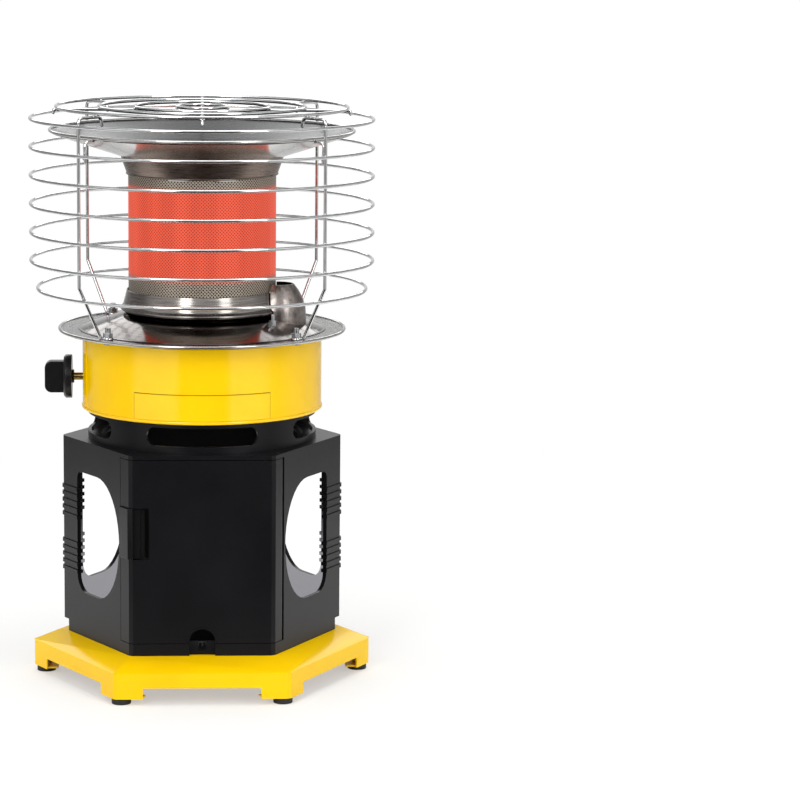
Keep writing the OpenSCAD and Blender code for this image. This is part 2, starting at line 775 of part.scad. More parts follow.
module lower_reflector() {
    band_z = bowl_top_z + 1.4;
    color("#8c8a87") rotate_extrude() {
        translate([mesh_r - 14.4, bowl_top_z]) square([reflector_r - mesh_r + 14.4, ledge_t]);
        translate([reflector_r - ledge_t, bowl_top_z]) square([ledge_t, band_z - bowl_top_z]);
        polygon(sheet([[reflector_r, band_z], [mesh_r + 4, bowl_top_z + 3.4],
            [mesh_r + 1.2, bowl_top_z + reflector_h]], -ledge_t, -0.1));
    }
}

module upper_collar() {
    neck_z = mesh_top_z - 6;
    color("#6b6058") rotate_extrude() {
        translate([mesh_r + gap, neck_z - 6]) square([ledge_t, 7]);
        polygon(sheet([[mesh_r + gap + ledge_t, neck_z], [mesh_r + 2.4, neck_z + 4.6],
            [mesh_r + 4, mesh_top_z + 3], [flare_r, dish_low_z]], -ledge_t, 0));
        translate([20, mesh_top_z]) square([mesh_r - 20 + 2.6, ledge_t]);
    }
}

module tie_rod() {
    low = pan_z + pan_t + 16;
    color("silver") translate([0, 0, low]) cylinder(h = dish_low_z + 2 * sheet_t + 7 - low, r = rod_r);
}

// The dish and the reflector under it are two nested cones
module dish_cone(z, outer, rise) {
    rotate_extrude() polygon(sheet([[rod_r + run, z], [flare_r, z], [outer, z + rise]], 0, sheet_t));
}

module top_reflector() {
    outer = dish_r - 3;
    share = (outer - flare_r) / (dish_r - bead_r - flare_r);
    color("#c4c6c8") dish_cone(dish_low_z, outer, dish_rise * share);
}

module top_dish() {
    rim_r = dish_r - bead_r;
    color("#55565a") {
        dish_cone(dish_low_z + sheet_t + run, rim_r, dish_rise);
        translate([0, 0, dish_bead_z]) rotate_extrude() translate([rim_r, 0]) circle(bead_r, $fn = 32);
    }
}

module dish_nut() {
    color("silver") translate([0, 0, dish_low_z + 2 * sheet_t + run]) hex_nut(5, 4, rod_r + run);
}

// ---- Pilot ----
module hood_turn(shrink) {
    profile = concat([for (p = hood_profile) [p[0] - shrink, p[1]]], [[0, hood_profile[5][1]], [0, 0]]);
    translate(at_pilot(hood_axis_r, 0, pan_z)) rotate_extrude() polygon(profile);
}

module pilot_hood() {
    clear = 0.4;
    color("#4c4844") difference() {
        hood_turn(0);
        translate([0, 0, -0.01]) hood_turn(0.8);
        translate([0, 0, hood_profile[5][1] - 0.01]) hood_turn(0.8);
        rotate_extrude() polygon([[0, pan_z - 1], [reflector_r + clear, pan_z - 1],
            [reflector_r + clear, bowl_top_z + 1.8], [mesh_r + 4.6, bowl_top_z + 3.8],
            [mesh_r + 1.8, bowl_top_z + reflector_h + clear],
            [mesh_r + clear, bowl_top_z + reflector_h + clear],
            [mesh_r + clear, mesh_top_z], [0, mesh_top_z]]);
    }
}

module pilot_burner() {
    color("#b08d4a") translate(at_pilot(pilot_r, 0, 0)) {
        translate([0, 0, pan_z - 6]) cylinder(h = 18, r = 3);
        translate([0, 0, pan_z]) cylinder(h = 1.5, r = 3.8);
    }
}

module igniter_electrode() {
    color("#e8e4da") translate(at_pilot(pilot_r, pilot_side, 0)) {
        translate([0, 0, pan_z - 6]) cylinder(h = 18, r = 2);
        translate([0, 0, pan_z]) cylinder(h = 1.5, r = 2.9);
        translate([0, 0, pan_z + 12]) cylinder(h = 5, r = 0.6);
    }
}

module thermocouple() {
    color("#a0522d") translate(at_pilot(pilot_r, -pilot_side, 0)) {
        translate([0, 0, pan_z - 6]) cylinder(h = 22, r = 1.6);
        translate([0, 0, pan_z]) cylinder(h = 1.5, r = 2.9);
    }
}

// Pipes and leads inside the drum run from the valve block to the pilot's three stems
module pilot_pipe() {
    end = at_pilot(pilot_r, 0, pan_z - 6);
    color("#b87333") wire([[valve_half, -4, knob_z], [30, -4, knob_z], [48, -10, knob_z + 6],
        [end[0], end[1], end[2] - 12], end], 1.5, 4, [0, 1, 0]);
}

module thermocouple_lead() {
    end = at_pilot(pilot_r, -pilot_side, pan_z - 6);
    color("#b87333") wire([[4, -valve_half, knob_z], [4, -30, knob_z], [42, -36, knob_z + 6],
        [end[0], end[1], end[2] - 12], end], 1, 4, [1, 0, 0]);
}

module igniter_lead() {
    end = at_pilot(pilot_r, pilot_side, pan_z - 6);
    color("#303030") wire([[4, valve_half, knob_z], [4, 26, knob_z], [44, 20, knob_z + 6],
        [end[0], end[1], end[2] - 12], end], 1.2, 4, [1, 0, 0]);
}

// ---- Gas train ----
module regulator() {
    outer = inlet_r + cup_wall;
    shoulder_z = strap_z + strap_t;
    color("#9a9a98") difference() {
        union() {
            translate([0, 0, inlet_z]) cylinder(h = valve_low_z - inlet_z, r = outer);
            translate([0, 0, shoulder_z]) cylinder(h = 4, r = outer + 7);
        }
        translate([0, 0, inlet_z - 1]) cylinder(h = inlet_depth + 1, r = inlet_r);
        translate([0, 0, inlet_z]) cylinder(h = inlet_depth + seal_h, r = inlet_r - 3);
        translate([0, 0, inlet_z]) cylinder(h = 40, r = 1.5);
        round_spots([0, 180], outer + 3.4, shoulder_z - 1) cylinder(h = 6, r = 1.7);
    }
}

module inlet_seal() {
    color("#1a1a1a") tube(inlet_z + inlet_depth, seal_h, inlet_r - 3 - run, 5);
}

module gas_valve() {
    color("#b5a05a") difference() {
        union() {
            translate([-valve_half, -valve_half, valve_low_z])
                cube([2 * valve_half, 2 * valve_half, valve_top_z - valve_low_z]);
            translate([-valve_half, 0, knob_z]) rotate([0, -90, 0])
                cylinder(h = -bush_end_x - valve_half, r = bush_r);
        }
        translate([bush_end_x + stem_in + push + 1.5, 0, knob_z]) rotate([0, -90, 0])
            cylinder(h = stem_in + push + 2.5, r = stem_r + run);
        translate([0, 0, valve_low_z - 1]) cylinder(h = valve_top_z - valve_low_z + 2, r = 1.5);
    }
}

module gas_jet() {
    color("#c9a648") difference() {
        union() {
            translate([0, 0, valve_top_z]) cylinder(h = 4, r = 5, $fn = 6);
            translate([0, 0, valve_top_z + 4]) cylinder(h = 4, r = 3);
        }
        translate([0, 0, valve_top_z - 1]) cylinder(h = 6, r = 1.5);
        translate([0, 0, valve_top_z]) cylinder(h = 12, r = 0.5);
    }
}

module valve_bracket() {
    outer = inlet_r + cup_wall;
    reach = collar_screw_r + 5;
    color("#a7a9ab") difference() {
        at_height(strap_z, strap_t) {
            square([strap_w, 2 * reach], center = true);
            circle(outer + 8);
        }
        at_height(strap_z - 1, 4) circle(outer + gap);
        round_spots([0, 180], outer + 3.4, strap_z - 1) cylinder(h = 4, r = 1.6);
        round_spots([90, 270], collar_screw_r, strap_z - 1) cylinder(h = 4, r = 1.7);
    }
}

module bracket_screws() {
    color("silver") {
        round_spots([90, 270], collar_screw_r, strap_z + strap_t)
            mirror([0, 0, 1]) screw(strap_t + drum_t + 0.8, 1.5, 2.8, 1.6);
        round_spots([0, 180], inlet_r + cup_wall + 3.4, strap_z + strap_t + 4)
            mirror([0, 0, 1]) screw(strap_t + 5, 1.5, 2.8, 1.6);
    }
}

module valve_stem() {
    color("#c0a860") translate([0, 0, knob_z]) rotate([0, -90, 0]) {
        translate([0, 0, -bush_end_x - stem_in]) cylinder(h = stem_in + bush_end_x - grip_x + 4, r = stem_r);
        translate([0, 0, -cap_x]) cylinder(h = 1.5, r = stem_r + 1.2);
    }
}

module spring_cap() {
    color("silver") translate([0, 0, knob_z]) rotate([0, -90, 0]) difference() {
        translate([0, 0, -cap_x - cap_t]) cylinder(h = cap_t, r = bush_r + 0.5);
        translate([0, 0, -cap_x - cap_t - 1]) cylinder(h = cap_t + 2, r = stem_r + run);
    }
}

// A coil spring that stands on z = 0
module coil(r, wire, turns, length) {
    per_turn = 16;
    n = turns * per_turn;
    sweep([for (i = [0:n]) [r * cos(360 * i / per_turn), r * sin(360 * i / per_turn), length * i / n]],
        wire, [0, 0, 1], 6);
}

module return_spring() {
    wire = 0.45;
    free = bush_end_x - cap_x - cap_t - 2 * wire - 0.1;
    color("silver") translate([bush_end_x - wire - 0.05, 0, knob_z]) rotate([0, -90, 0])
        coil(stem_r + 1.3, wire, 5, free);
}

module grip_outline() {
    round_r = 5;
    len = grip_x + grip_root - knob_end_x;
    translate([0, -grip_h / 2]) square([len - round_r, grip_h]);
    translate([0, -grip_h / 2 + round_r]) square([len, grip_h - 2 * round_r]);
    for (side = [-1, 1]) translate([len - round_r, side * (grip_h / 2 - round_r)]) circle(round_r);
}

module control_knob() {
    bevel = 1.6;
    color("#1b1b1d") translate([0, 0, knob_z]) difference() {
        union() {
            rotate([0, -90, 0]) rotate_extrude() polygon([[0, -hub_x], [5, -hub_x], [5, -disc_x],
                [knob_r, -disc_x], [knob_r, -grip_x - bevel], [knob_r - bevel, -grip_x], [0, -grip_x]]);
            translate([grip_x + grip_root, grip_w / 2, 0]) rotate([90, 180, 0]) linear_extrude(grip_w)
                grip_outline();
        }
        translate([hub_x + 1, 0, 0]) rotate([0, -90, 0])
            cylinder(h = hub_x + 1 - grip_x + 4, r = stem_r + run);
    }
}

// ---- Tip-over switch ----
module tilt_switch() {
    half_x = 9;
    half_y = 11;
    wall = 1.6;
    low = strap_z + strap_t;
    top = tilt_at[2] + 5;
    color("#2c2c2e") {
        difference() {
            translate([-half_x, tilt_at[1] - half_y, low]) cube([2 * half_x, 2 * half_y, top - low]);
            translate([-half_x + wall, tilt_at[1] - half_y + wall, low + wall])
                cube([2 * (half_x - wall), 2 * (half_y - wall), top - low - 2 * wall]);
        }
        rod([-half_x + wall / 2, tilt_at[1], tilt_at[2]], [half_x - wall / 2, tilt_at[1], tilt_at[2]], 1.2);
    }
}

module tilt_pendulum() {
    bob_z = tilt_at[2] - 12.5;
    color("#8f9194") difference() {
        union() {
            rod([-2, tilt_at[1], tilt_at[2]], [2, tilt_at[1], tilt_at[2]], 2.4);
            rod([0, tilt_at[1], bob_z], [0, tilt_at[1], tilt_at[2] - 1.8], 1);
            rod([-5, tilt_at[1], bob_z], [5, tilt_at[1], bob_z], 4);
        }
        rod([-6, tilt_at[1], tilt_at[2]], [6, tilt_at[1], tilt_at[2]], 1.2 + run);
    }
}

base_tray();
rubber_feet();
foot_screws();
foot_nuts();
cylinder_cup();
cup_screws();
body_shell();
body_screws();
front_door();
hinge_pins();
door_latch();
vent_collar();
collar_screws();
burner_housing();
housing_plate();
housing_screws();
heat_pan();
pan_cone();
pan_bolts();
pan_nuts();
pan_stud();
guard_rings();
guard_uprights();
dish_clips();
top_grate();
burner_bowl();
burner_head();
mixing_tube();
inner_screen();
burner_mesh();
lower_reflector();
upper_collar();
tie_rod();
top_reflector();
top_dish();
dish_nut();
pilot_hood();
pilot_burner();
igniter_electrode();
thermocouple();
pilot_pipe();
thermocouple_lead();
igniter_lead();
regulator();
inlet_seal();
gas_valve();
gas_jet();
valve_bracket();
bracket_screws();
valve_stem();
spring_cap();
return_spring();
control_knob();
tilt_switch();
tilt_pendulum();
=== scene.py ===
import json
import math
import bmesh
import bpy
from mathutils import Matrix, Vector

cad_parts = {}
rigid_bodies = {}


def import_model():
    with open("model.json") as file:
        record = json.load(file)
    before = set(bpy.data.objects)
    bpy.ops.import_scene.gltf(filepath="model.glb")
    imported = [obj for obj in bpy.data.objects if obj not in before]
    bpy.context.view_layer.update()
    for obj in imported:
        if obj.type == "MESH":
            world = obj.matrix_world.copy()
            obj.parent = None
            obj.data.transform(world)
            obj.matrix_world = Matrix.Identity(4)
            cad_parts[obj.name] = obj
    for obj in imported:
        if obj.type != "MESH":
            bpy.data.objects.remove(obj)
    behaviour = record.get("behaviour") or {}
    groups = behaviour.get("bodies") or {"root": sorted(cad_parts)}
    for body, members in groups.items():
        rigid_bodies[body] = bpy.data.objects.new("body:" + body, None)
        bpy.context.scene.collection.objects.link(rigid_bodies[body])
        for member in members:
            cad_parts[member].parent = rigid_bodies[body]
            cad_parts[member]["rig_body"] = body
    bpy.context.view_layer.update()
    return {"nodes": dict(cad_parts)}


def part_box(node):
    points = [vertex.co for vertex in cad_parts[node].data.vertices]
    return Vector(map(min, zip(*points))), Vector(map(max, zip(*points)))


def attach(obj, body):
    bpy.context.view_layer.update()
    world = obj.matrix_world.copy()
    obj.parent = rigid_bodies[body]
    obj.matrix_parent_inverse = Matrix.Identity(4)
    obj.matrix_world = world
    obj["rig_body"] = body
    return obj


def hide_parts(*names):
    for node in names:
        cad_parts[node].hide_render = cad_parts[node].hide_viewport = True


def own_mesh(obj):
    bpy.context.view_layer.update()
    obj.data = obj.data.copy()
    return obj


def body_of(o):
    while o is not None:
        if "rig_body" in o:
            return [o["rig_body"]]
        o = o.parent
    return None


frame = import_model()
nodes = frame["nodes"]
mm = 0.001
tau = 2 * math.pi
print("stage: frame loaded,", len(nodes), "nodes")

# The camera stands in front of the heater and a little above it, turned to put the heater on the left
view = {"place": (0, -2.392, 0.5975), "down": 9.31, "turn": 3.48, "lens": 146.3, "sensor": 36}

# Lamps: place, aim and size in metres, power in watts
lamps = {
    "keyLeft": {"place": (-0.95, -2.0, 1.5), "aim": (0, 0, 0.22), "size": (0.7, 1.5), "power": 21},
    "keyRight": {"place": (1.25, -1.75, 1.2), "aim": (0, 0, 0.22), "size": (0.6, 1.5), "power": 13},
    "top": {"place": (0, -0.2, 2.2), "aim": (0, 0, 0.2), "size": (1.6, 1.2), "power": 22},
    "back": {"place": (0, 1.9, 1.3), "aim": (0, 0, 0.25), "size": (2.2, 1.0), "power": 14},
}
# The room that polished metal shows. round: its brightness by angle from straight ahead; lift and crown:
# where the overhead light begins and ends, as shares of straight up; rear: where it goes from front to back
studio = {
    "fill": 0.55, "lift": (0.1, 0.3), "crown": (0.72, 0.9), "rear": (-0.2, 0.3),
    "overhead": "#F8F8F8", "overheadRear": "#8A8A8A", "zenith": "#4A4A4A",
    "round": [
        (-180, "#E6E6E6"), (-150, "#A0A0A0"), (-96, "#8A8A8A"), (-72, "#606060"), (-62, "#F2F2F2"),
        (-26, "#EEEEEE"), (-19, "#1A1A1A"), (22, "#1A1A1A"), (28, "#EEEEEE"), (58, "#F2F2F2"),
        (72, "#808080"), (96, "#C8C8C8"), (150, "#B0B0B0"), (180, "#E6E6E6"),
    ],
}
# The paper under the heater, in metres from its middle. ahead: where it goes dark in reflections, to near;
# beyond: where reflections show the room; fade: where the eye sees it go white, by the shares in white
sweep = {"size": 16, "colour": "#F4F4F3", "near": "#242424", "ahead": (-0.13, -0.26), "beyond": (0.7, 0.95),
         "fade": (0.2, 0.9), "white": (0.45, 1.0)}


def linear(hexColour):
    # sRGB hex to the linear values that the shaders work in
    parts = [int(hexColour[i:i + 2], 16) / 255 for i in (1, 3, 5)]
    return [p / 12.92 if p <= 0.04045 else ((p + 0.055) / 1.055) ** 2.4 for p in parts] + [1]


def add(tree, kind, inputs=None, stops=(), **settings):
    # adds a node: an input is a value, or another node's output to link; stops are the places and hex colours
    # of a colour ramp
    node = tree.nodes.new(kind)
    for name, value in settings.items():
        setattr(node, name, value)
    for key, value in (inputs or {}).items():
        if isinstance(value, bpy.types.NodeSocket):
            tree.links.new(value, node.inputs[key])
        else:
            node.inputs[key].default_value = value
    while stops and len(node.color_ramp.elements) < len(stops):
        node.color_ramp.elements.new(0.5)
    for i, (place, colour) in enumerate(stops):
        node.color_ramp.elements[i].position = place
        node.color_ramp.elements[i].color = linear(colour)
    return node


def newMaterial(name):
    material = bpy.data.materials.new(name)
    material.use_nodes = True
    material.node_tree.nodes.clear()
    return material, material.node_tree


def placeCamera():
    data = bpy.data.cameras.new("camera")
    data.lens = view["lens"]
    data.sensor_width = view["sensor"]
    camera = bpy.data.objects.new("camera", data)
    bpy.context.scene.collection.objects.link(camera)
    tilt = Matrix.Rotation(math.radians(90 - view["down"]), 4, "X")
    turn = Matrix.Rotation(-math.radians(view["turn"]), 4, "Y")
    camera.matrix_world = Matrix.Translation(view["place"]) @ tilt @ turn
    bpy.context.scene.camera = camera


def placeLamps():
    for name, lamp in lamps.items():
        data = bpy.data.lights.new(name, "AREA")
        data.shape = "RECTANGLE"
        data.size, data.size_y = lamp["size"]
        data.energy = lamp["power"]
        light = bpy.data.objects.new(name, data)
        bpy.context.scene.collection.objects.link(light)
        light.location = lamp["place"]
        aim = Vector(lamp["aim"]) - Vector(lamp["place"])
        light.rotation_euler = aim.to_track_quat("-Z", "Y").to_euler()


def studioLevel(tree, direction):
    # how bright the studio looks in a direction, as polished metal shows it: white overhead, two tall
    # softboxes at the front corners, and a dark room between them
    parts = add(tree, "ShaderNodeSeparateXYZ", {0: direction}).outputs
    ahead = add(tree, "ShaderNodeMath", {0: parts["Y"], 1: -1.0}, operation="MULTIPLY").outputs[0]
    turn = add(tree, "ShaderNodeMath", {0: parts["X"], 1: ahead}, operation="ARCTAN2").outputs[0]
    share = add(tree, "ShaderNodeMapRange", {
        "Value": turn, "From Min": -math.pi, "From Max": math.pi}).outputs[0]
    level = add(tree, "ShaderNodeValToRGB", {"Fac": share},
                stops=[(0.5 + degrees / 360, grey) for degrees, grey in studio["round"]]).outputs[0]
    high, rear, crown = (
        add(tree, "ShaderNodeMapRange", {"Value": parts[axis], "From Min": low, "From Max": top},
            interpolation_type="SMOOTHSTEP").outputs[0]
        for axis, (low, top) in (("Z", studio["lift"]), ("Y", studio["rear"]), ("Z", studio["crown"])))
    over = add(tree, "ShaderNodeMix", {
        "Factor": rear, 6: linear(studio["overhead"]), 7: linear(studio["overheadRear"])},
        data_type="RGBA").outputs[2]
    lower = add(tree, "ShaderNodeMix", {"Factor": high, 6: level, 7: over}, data_type="RGBA").outputs[2]
    return add(tree, "ShaderNodeMix", {"Factor": crown, 6: lower, 7: linear(studio["zenith"])},
               data_type="RGBA").outputs[2]


def makeWorld():
    # white for the eye, the studio for reflections, and an even fill for everything else
    world = bpy.data.worlds.new("studio")
    world.use_nodes = True
    tree = world.node_tree
    tree.nodes.clear()
    path = add(tree, "ShaderNodeLightPath").outputs
    direction = add(tree, "ShaderNodeTexCoord").outputs["Generated"]
    room = studioLevel(tree, direction)
    fill = studio["fill"]
    even = add(tree, "ShaderNodeMix", {"Factor": path["Is Glossy Ray"], 6: (fill, fill, fill, 1), 7: room},
               data_type="RGBA").outputs[2]
    clear = add(tree, "ShaderNodeMath", {0: path["Is Camera Ray"], 1: path["Is Transmission Ray"]},
                operation="MAXIMUM").outputs[0]
    seen = add(tree, "ShaderNodeMix", {"Factor": clear, 6: even, 7: linear("#FFFFFF")},
               data_type="RGBA").outputs[2]
    glow = add(tree, "ShaderNodeBackground", {"Color": seen, "Strength": 1.0})
    add(tree, "ShaderNodeOutputWorld", {"Surface": glow.outputs[0]})
    bpy.context.scene.world = world


def paperSweep():
    # paper: dull and white; far from the heater it goes over into the background, and in polished metal it
    # shows the studio that stands round it
    material, tree = newMaterial("paper sweep")
    path = add(tree, "ShaderNodeLightPath").outputs
    place = add(tree, "ShaderNodeTexCoord").outputs["Object"]
    away = add(tree, "ShaderNodeVectorMath", {0: place}, operation="LENGTH").outputs["Value"]
    toward = add(tree, "ShaderNodeVectorMath", {0: place}, operation="NORMALIZE").outputs[0]
    room = studioLevel(tree, toward)
    forward = add(tree, "ShaderNodeSeparateXYZ", {0: place}).outputs["Y"]
    ahead, beyond, far = (
        add(tree, "ShaderNodeMapRange", {
            "Value": value, "From Min": near, "From Max": end, "To Min": low, "To Max": high}).outputs[0]
        for value, (near, end), (low, high) in (
            (forward, sweep["ahead"], (0, 1)), (away, sweep["beyond"], (0, 1)),
            (away, sweep["fade"], sweep["white"])))
    mirrored = add(tree, "ShaderNodeMix", {"Factor": beyond, 6: linear(sweep["near"]), 7: room},
                   data_type="RGBA").outputs[2]
    either = add(tree, "ShaderNodeMath", {0: ahead, 1: beyond}, operation="MAXIMUM").outputs[0]
    shown = add(tree, "ShaderNodeMath", {0: either, 1: path["Is Glossy Ray"]},
                operation="MULTIPLY").outputs[0]
    paper = add(tree, "ShaderNodeBsdfDiffuse", {"Color": linear(sweep["colour"])}).outputs[0]
    image = add(tree, "ShaderNodeEmission", {"Color": mirrored, "Strength": 1.0}).outputs[0]
    paper = add(tree, "ShaderNodeMixShader", {0: shown, 1: paper, 2: image}).outputs[0]
    white = add(tree, "ShaderNodeEmission", {"Color": linear("#FFFFFF"), "Strength": 1.0}).outputs[0]
    share = add(tree, "ShaderNodeMath", {0: far, 1: path["Is Camera Ray"]}, operation="MULTIPLY").outputs[0]
    both = add(tree, "ShaderNodeMixShader", {0: share, 1: paper, 2: white}).outputs[0]
    add(tree, "ShaderNodeOutputMaterial", {"Surface": both})
    return material


def makeFloor():
    size = sweep["size"]
    mesh = bpy.data.meshes.new("floor")
    corners = [(-size, -size, 0), (size, -size, 0), (size, size, 0), (-size, size, 0)]
    mesh.from_pydata(corners, [], [(0, 1, 2, 3)])
    floor = bpy.data.objects.new("floor", mesh)
    bpy.context.scene.collection.objects.link(floor)
    mesh.materials.append(paperSweep())


placeCamera()
placeLamps()
makeWorld()
makeFloor()
bpy.context.scene.view_settings.view_transform = "Standard"
print("stage: studio ready")


def mottle(tree, sizeMm, detail):
    # soft noise with marks of about this size on the piece
    place = add(tree, "ShaderNodeTexCoord").outputs["Object"]
    scaled = add(tree, "ShaderNodeVectorMath", {0: place, "Scale": 1 / (sizeMm * mm)},
                 operation="SCALE").outputs[0]
    return add(tree, "ShaderNodeTexNoise", {"Vector": scaled, "Scale": 1.0, "Detail": detail}).outputs["Fac"]


def turnedPlace(tree):
    # radius, angle round the upright axis and height, for marks that run round a spun piece
    place = add(tree, "ShaderNodeTexCoord").outputs["Object"]
    parts = add(tree, "ShaderNodeSeparateXYZ", {0: place}).outputs
    flat = add(tree, "ShaderNodeVectorMath", {0: place, 1: (1, 1, 0)}, operation="MULTIPLY").outputs[0]
    radius = add(tree, "ShaderNodeVectorMath", {0: flat}, operation="LENGTH").outputs["Value"]
    angle = add(tree, "ShaderNodeMath", {0: parts["Y"], 1: parts["X"]}, operation="ARCTAN2").outputs[0]
    return radius, angle, parts["Z"]


def powderCoat(name, gloss, rough):
    # powder-coated sheet steel: an even, deep yellow with a soft orange-peel gloss
    material, tree = newMaterial(name)
    peel = mottle(tree, sizeMm=2.2, detail=2)
    dust = mottle(tree, sizeMm=45, detail=3)
    colour = add(tree, "ShaderNodeValToRGB", {"Fac": dust}, stops=[(0.3, "#FDC800"), (0.7, "#FFD000")])
    level = add(tree, "ShaderNodeMapRange", {"Value": dust, "To Min": rough - 0.03, "To Max": rough + 0.03})
    relief = add(tree, "ShaderNodeBump", {"Height": peel, "Strength": 0.04, "Distance": 0.2 * mm})
    shader = add(tree, "ShaderNodeBsdfPrincipled", {
        "Base Color": colour.outputs[0], "Roughness": level.outputs[0], "IOR": 1.5,
        "Specular IOR Level": gloss, "Normal": relief.outputs[0]})
    add(tree, "ShaderNodeOutputMaterial", {"Surface": shader.outputs[0]})
    return material


def mouldedAbs(name, dark, light, rough, grain=0.12):
    # ABS from an etched mould: near-black, satin, with a fine grain that breaks up the gloss
    material, tree = newMaterial(name)
    etched = mottle(tree, sizeMm=0.9, detail=3)
    flow = mottle(tree, sizeMm=60, detail=2)
    colour = add(tree, "ShaderNodeValToRGB", {"Fac": flow}, stops=[(0.3, dark), (0.7, light)])
    level = add(tree, "ShaderNodeMapRange", {"Value": flow, "To Min": rough - 0.05, "To Max": rough + 0.05})
    relief = add(tree, "ShaderNodeBump", {"Height": etched, "Strength": grain, "Distance": 0.06 * mm})
    shader = add(tree, "ShaderNodeBsdfPrincipled", {
        "Base Color": colour.outputs[0], "Roughness": level.outputs[0], "IOR": 1.53,
        "Specular IOR Level": 0.2, "Normal": relief.outputs[0]})
    add(tree, "ShaderNodeOutputMaterial", {"Surface": shader.outputs[0]})
    return material


# where the painted light on the shell's inner side fades from pale to black: by height, and by depth towards
# the back, in metres; uneven: how far its mottle shifts that height
paintedInsideLight = {"height": (0.08, 0.13), "depth": (0.061, 0.07), "uneven": 0.01}


def innerAbsPaintedLight():
    # the smooth inner side of black ABS, with painted light low down: a pale colour and a faint glow that
    # stand for the white light that comes in through the openings; its own black higher up and towards the
    # back
    material, tree = newMaterial("black ABS, inner side, painted light")
    place = add(tree, "ShaderNodeTexCoord").outputs["Object"]
    parts = add(tree, "ShaderNodeSeparateXYZ", {0: place}).outputs
    flow = mottle(tree, sizeMm=60, detail=2)
    uneven = add(tree, "ShaderNodeMath", {0: flow, 1: paintedInsideLight["uneven"], 2: parts["Z"]},
                 operation="MULTIPLY_ADD").outputs[0]
    upward, inward = (
        add(tree, "ShaderNodeMapRange", {"Value": value, "From Min": low, "From Max": high}).outputs[0]
        for value, (low, high) in ((uneven, paintedInsideLight["height"]), (parts["Y"], paintedInsideLight["depth"])))
    fade = add(tree, "ShaderNodeMath", {0: upward, 1: inward}, operation="MAXIMUM").outputs[0]
    # painted light: pale low down, where light comes in through the openings, and the ABS's own black higher
    # up
    colour = add(tree, "ShaderNodeValToRGB", {"Fac": fade},
                 stops=[(0.0, "#B4B4B6"), (0.5, "#6A6A6C"), (1.0, "#161518")])
    # painted light: a faint glow low down that stands for the light coming in through the openings
    shine = add(tree, "ShaderNodeValToRGB", {"Fac": fade},
                stops=[(0.0, "#8C8C90"), (0.5, "#505052"), (1.0, "#000000")])
    shader = add(tree, "ShaderNodeBsdfPrincipled", {
        "Base Color": colour.outputs[0], "Roughness": 0.4, "IOR": 1.53, "Specular IOR Level": 0.2,
        "Emission Color": shine.outputs[0], "Emission Strength": 1.0})
    add(tree, "ShaderNodeOutputMaterial", {"Surface": shader.outputs[0]})
    return material


def platedWire():
    # bright nickel-chrome plate on drawn wire: mirror bright, with faint lengthways waviness
    material, tree = newMaterial("bright chrome wire")
    wave = mottle(tree, sizeMm=7, detail=2)
    rough = add(tree, "ShaderNodeMapRange", {"Value": wave, "To Min": 0.02, "To Max": 0.08})
    colour = add(tree, "ShaderNodeValToRGB", {"Fac": wave}, stops=[(0.25, "#CFD0D1"), (0.75, "#E3E4E4")])
    shader = add(tree, "ShaderNodeBsdfPrincipled", {
        "Base Color": colour.outputs[0], "Metallic": 1.0, "Roughness": rough.outputs[0]})
    add(tree, "ShaderNodeOutputMaterial", {"Surface": shader.outputs[0]})
    return material


# marks of the spinning lathe: distance between lines, how often they break up round the piece, and stains
latheMarks = {"lineMm": 0.5, "breaks": 2.5, "stainMm": 35, "depthMm": 0.08}


def spunMetal(name, dark, light, rough, relief=0.1, patchy=0.0):
    # spun or polished sheet: fine lines run round it and stretch its reflections
    material, tree = newMaterial(name)
    radius, angle, height = turnedPlace(tree)
    across = add(tree, "ShaderNodeMath", {0: radius, 1: height}, operation="ADD").outputs[0]
    scaled = add(tree, "ShaderNodeMath", {0: across, 1: 1 / (latheMarks["lineMm"] * mm)},
                 operation="MULTIPLY")
    along = add(tree, "ShaderNodeMath", {0: angle, 1: latheMarks["breaks"]}, operation="MULTIPLY")
    place = add(tree, "ShaderNodeCombineXYZ", {0: scaled.outputs[0], 1: along.outputs[0], 2: 0.0}).outputs[0]
    lines = add(tree, "ShaderNodeTexNoise", {"Vector": place, "Scale": 1.0, "Detail": 3.0}).outputs["Fac"]
    stain = mottle(tree, sizeMm=latheMarks["stainMm"], detail=4)
    blend = add(tree, "ShaderNodeMix", {"Factor": patchy, 2: lines, 3: stain}).outputs[0]
    colour = add(tree, "ShaderNodeValToRGB", {"Fac": blend}, stops=[(0.35, dark), (0.65, light)])
    level = add(tree, "ShaderNodeMapRange", {
        "Value": lines, "From Min": 0.3, "From Max": 0.7, "To Min": rough * 0.75, "To Max": rough * 1.3})
    bump = add(tree, "ShaderNodeBump", {
        "Height": lines, "Strength": relief, "Distance": latheMarks["depthMm"] * mm})
    shader = add(tree, "ShaderNodeBsdfPrincipled", {
        "Base Color": colour.outputs[0], "Metallic": 1.0, "Roughness": level.outputs[0],
        "Normal": bump.outputs[0]})
    add(tree, "ShaderNodeOutputMaterial", {"Surface": shader.outputs[0]})
    return material


def platedSteel(name, dark, light, rough):
    # plated, drawn or machined small parts: soft metal shine with a mottled film
    material, tree = newMaterial(name)
    film = mottle(tree, sizeMm=3.5, detail=4)
    colour = add(tree, "ShaderNodeValToRGB", {"Fac": film}, stops=[(0.3, dark), (0.7, light)])
    level = add(tree, "ShaderNodeMapRange", {"Value": film, "To Min": rough - 0.07, "To Max": rough + 0.07})
    relief = add(tree, "ShaderNodeBump", {"Height": film, "Strength": 0.08, "Distance": 0.05 * mm})
    shader = add(tree, "ShaderNodeBsdfPrincipled", {
        "Base Color": colour.outputs[0], "Metallic": 1.0, "Roughness": level.outputs[0],
        "Normal": relief.outputs[0]})
    add(tree, "ShaderNodeOutputMaterial", {"Surface": shader.outputs[0]})
    return material


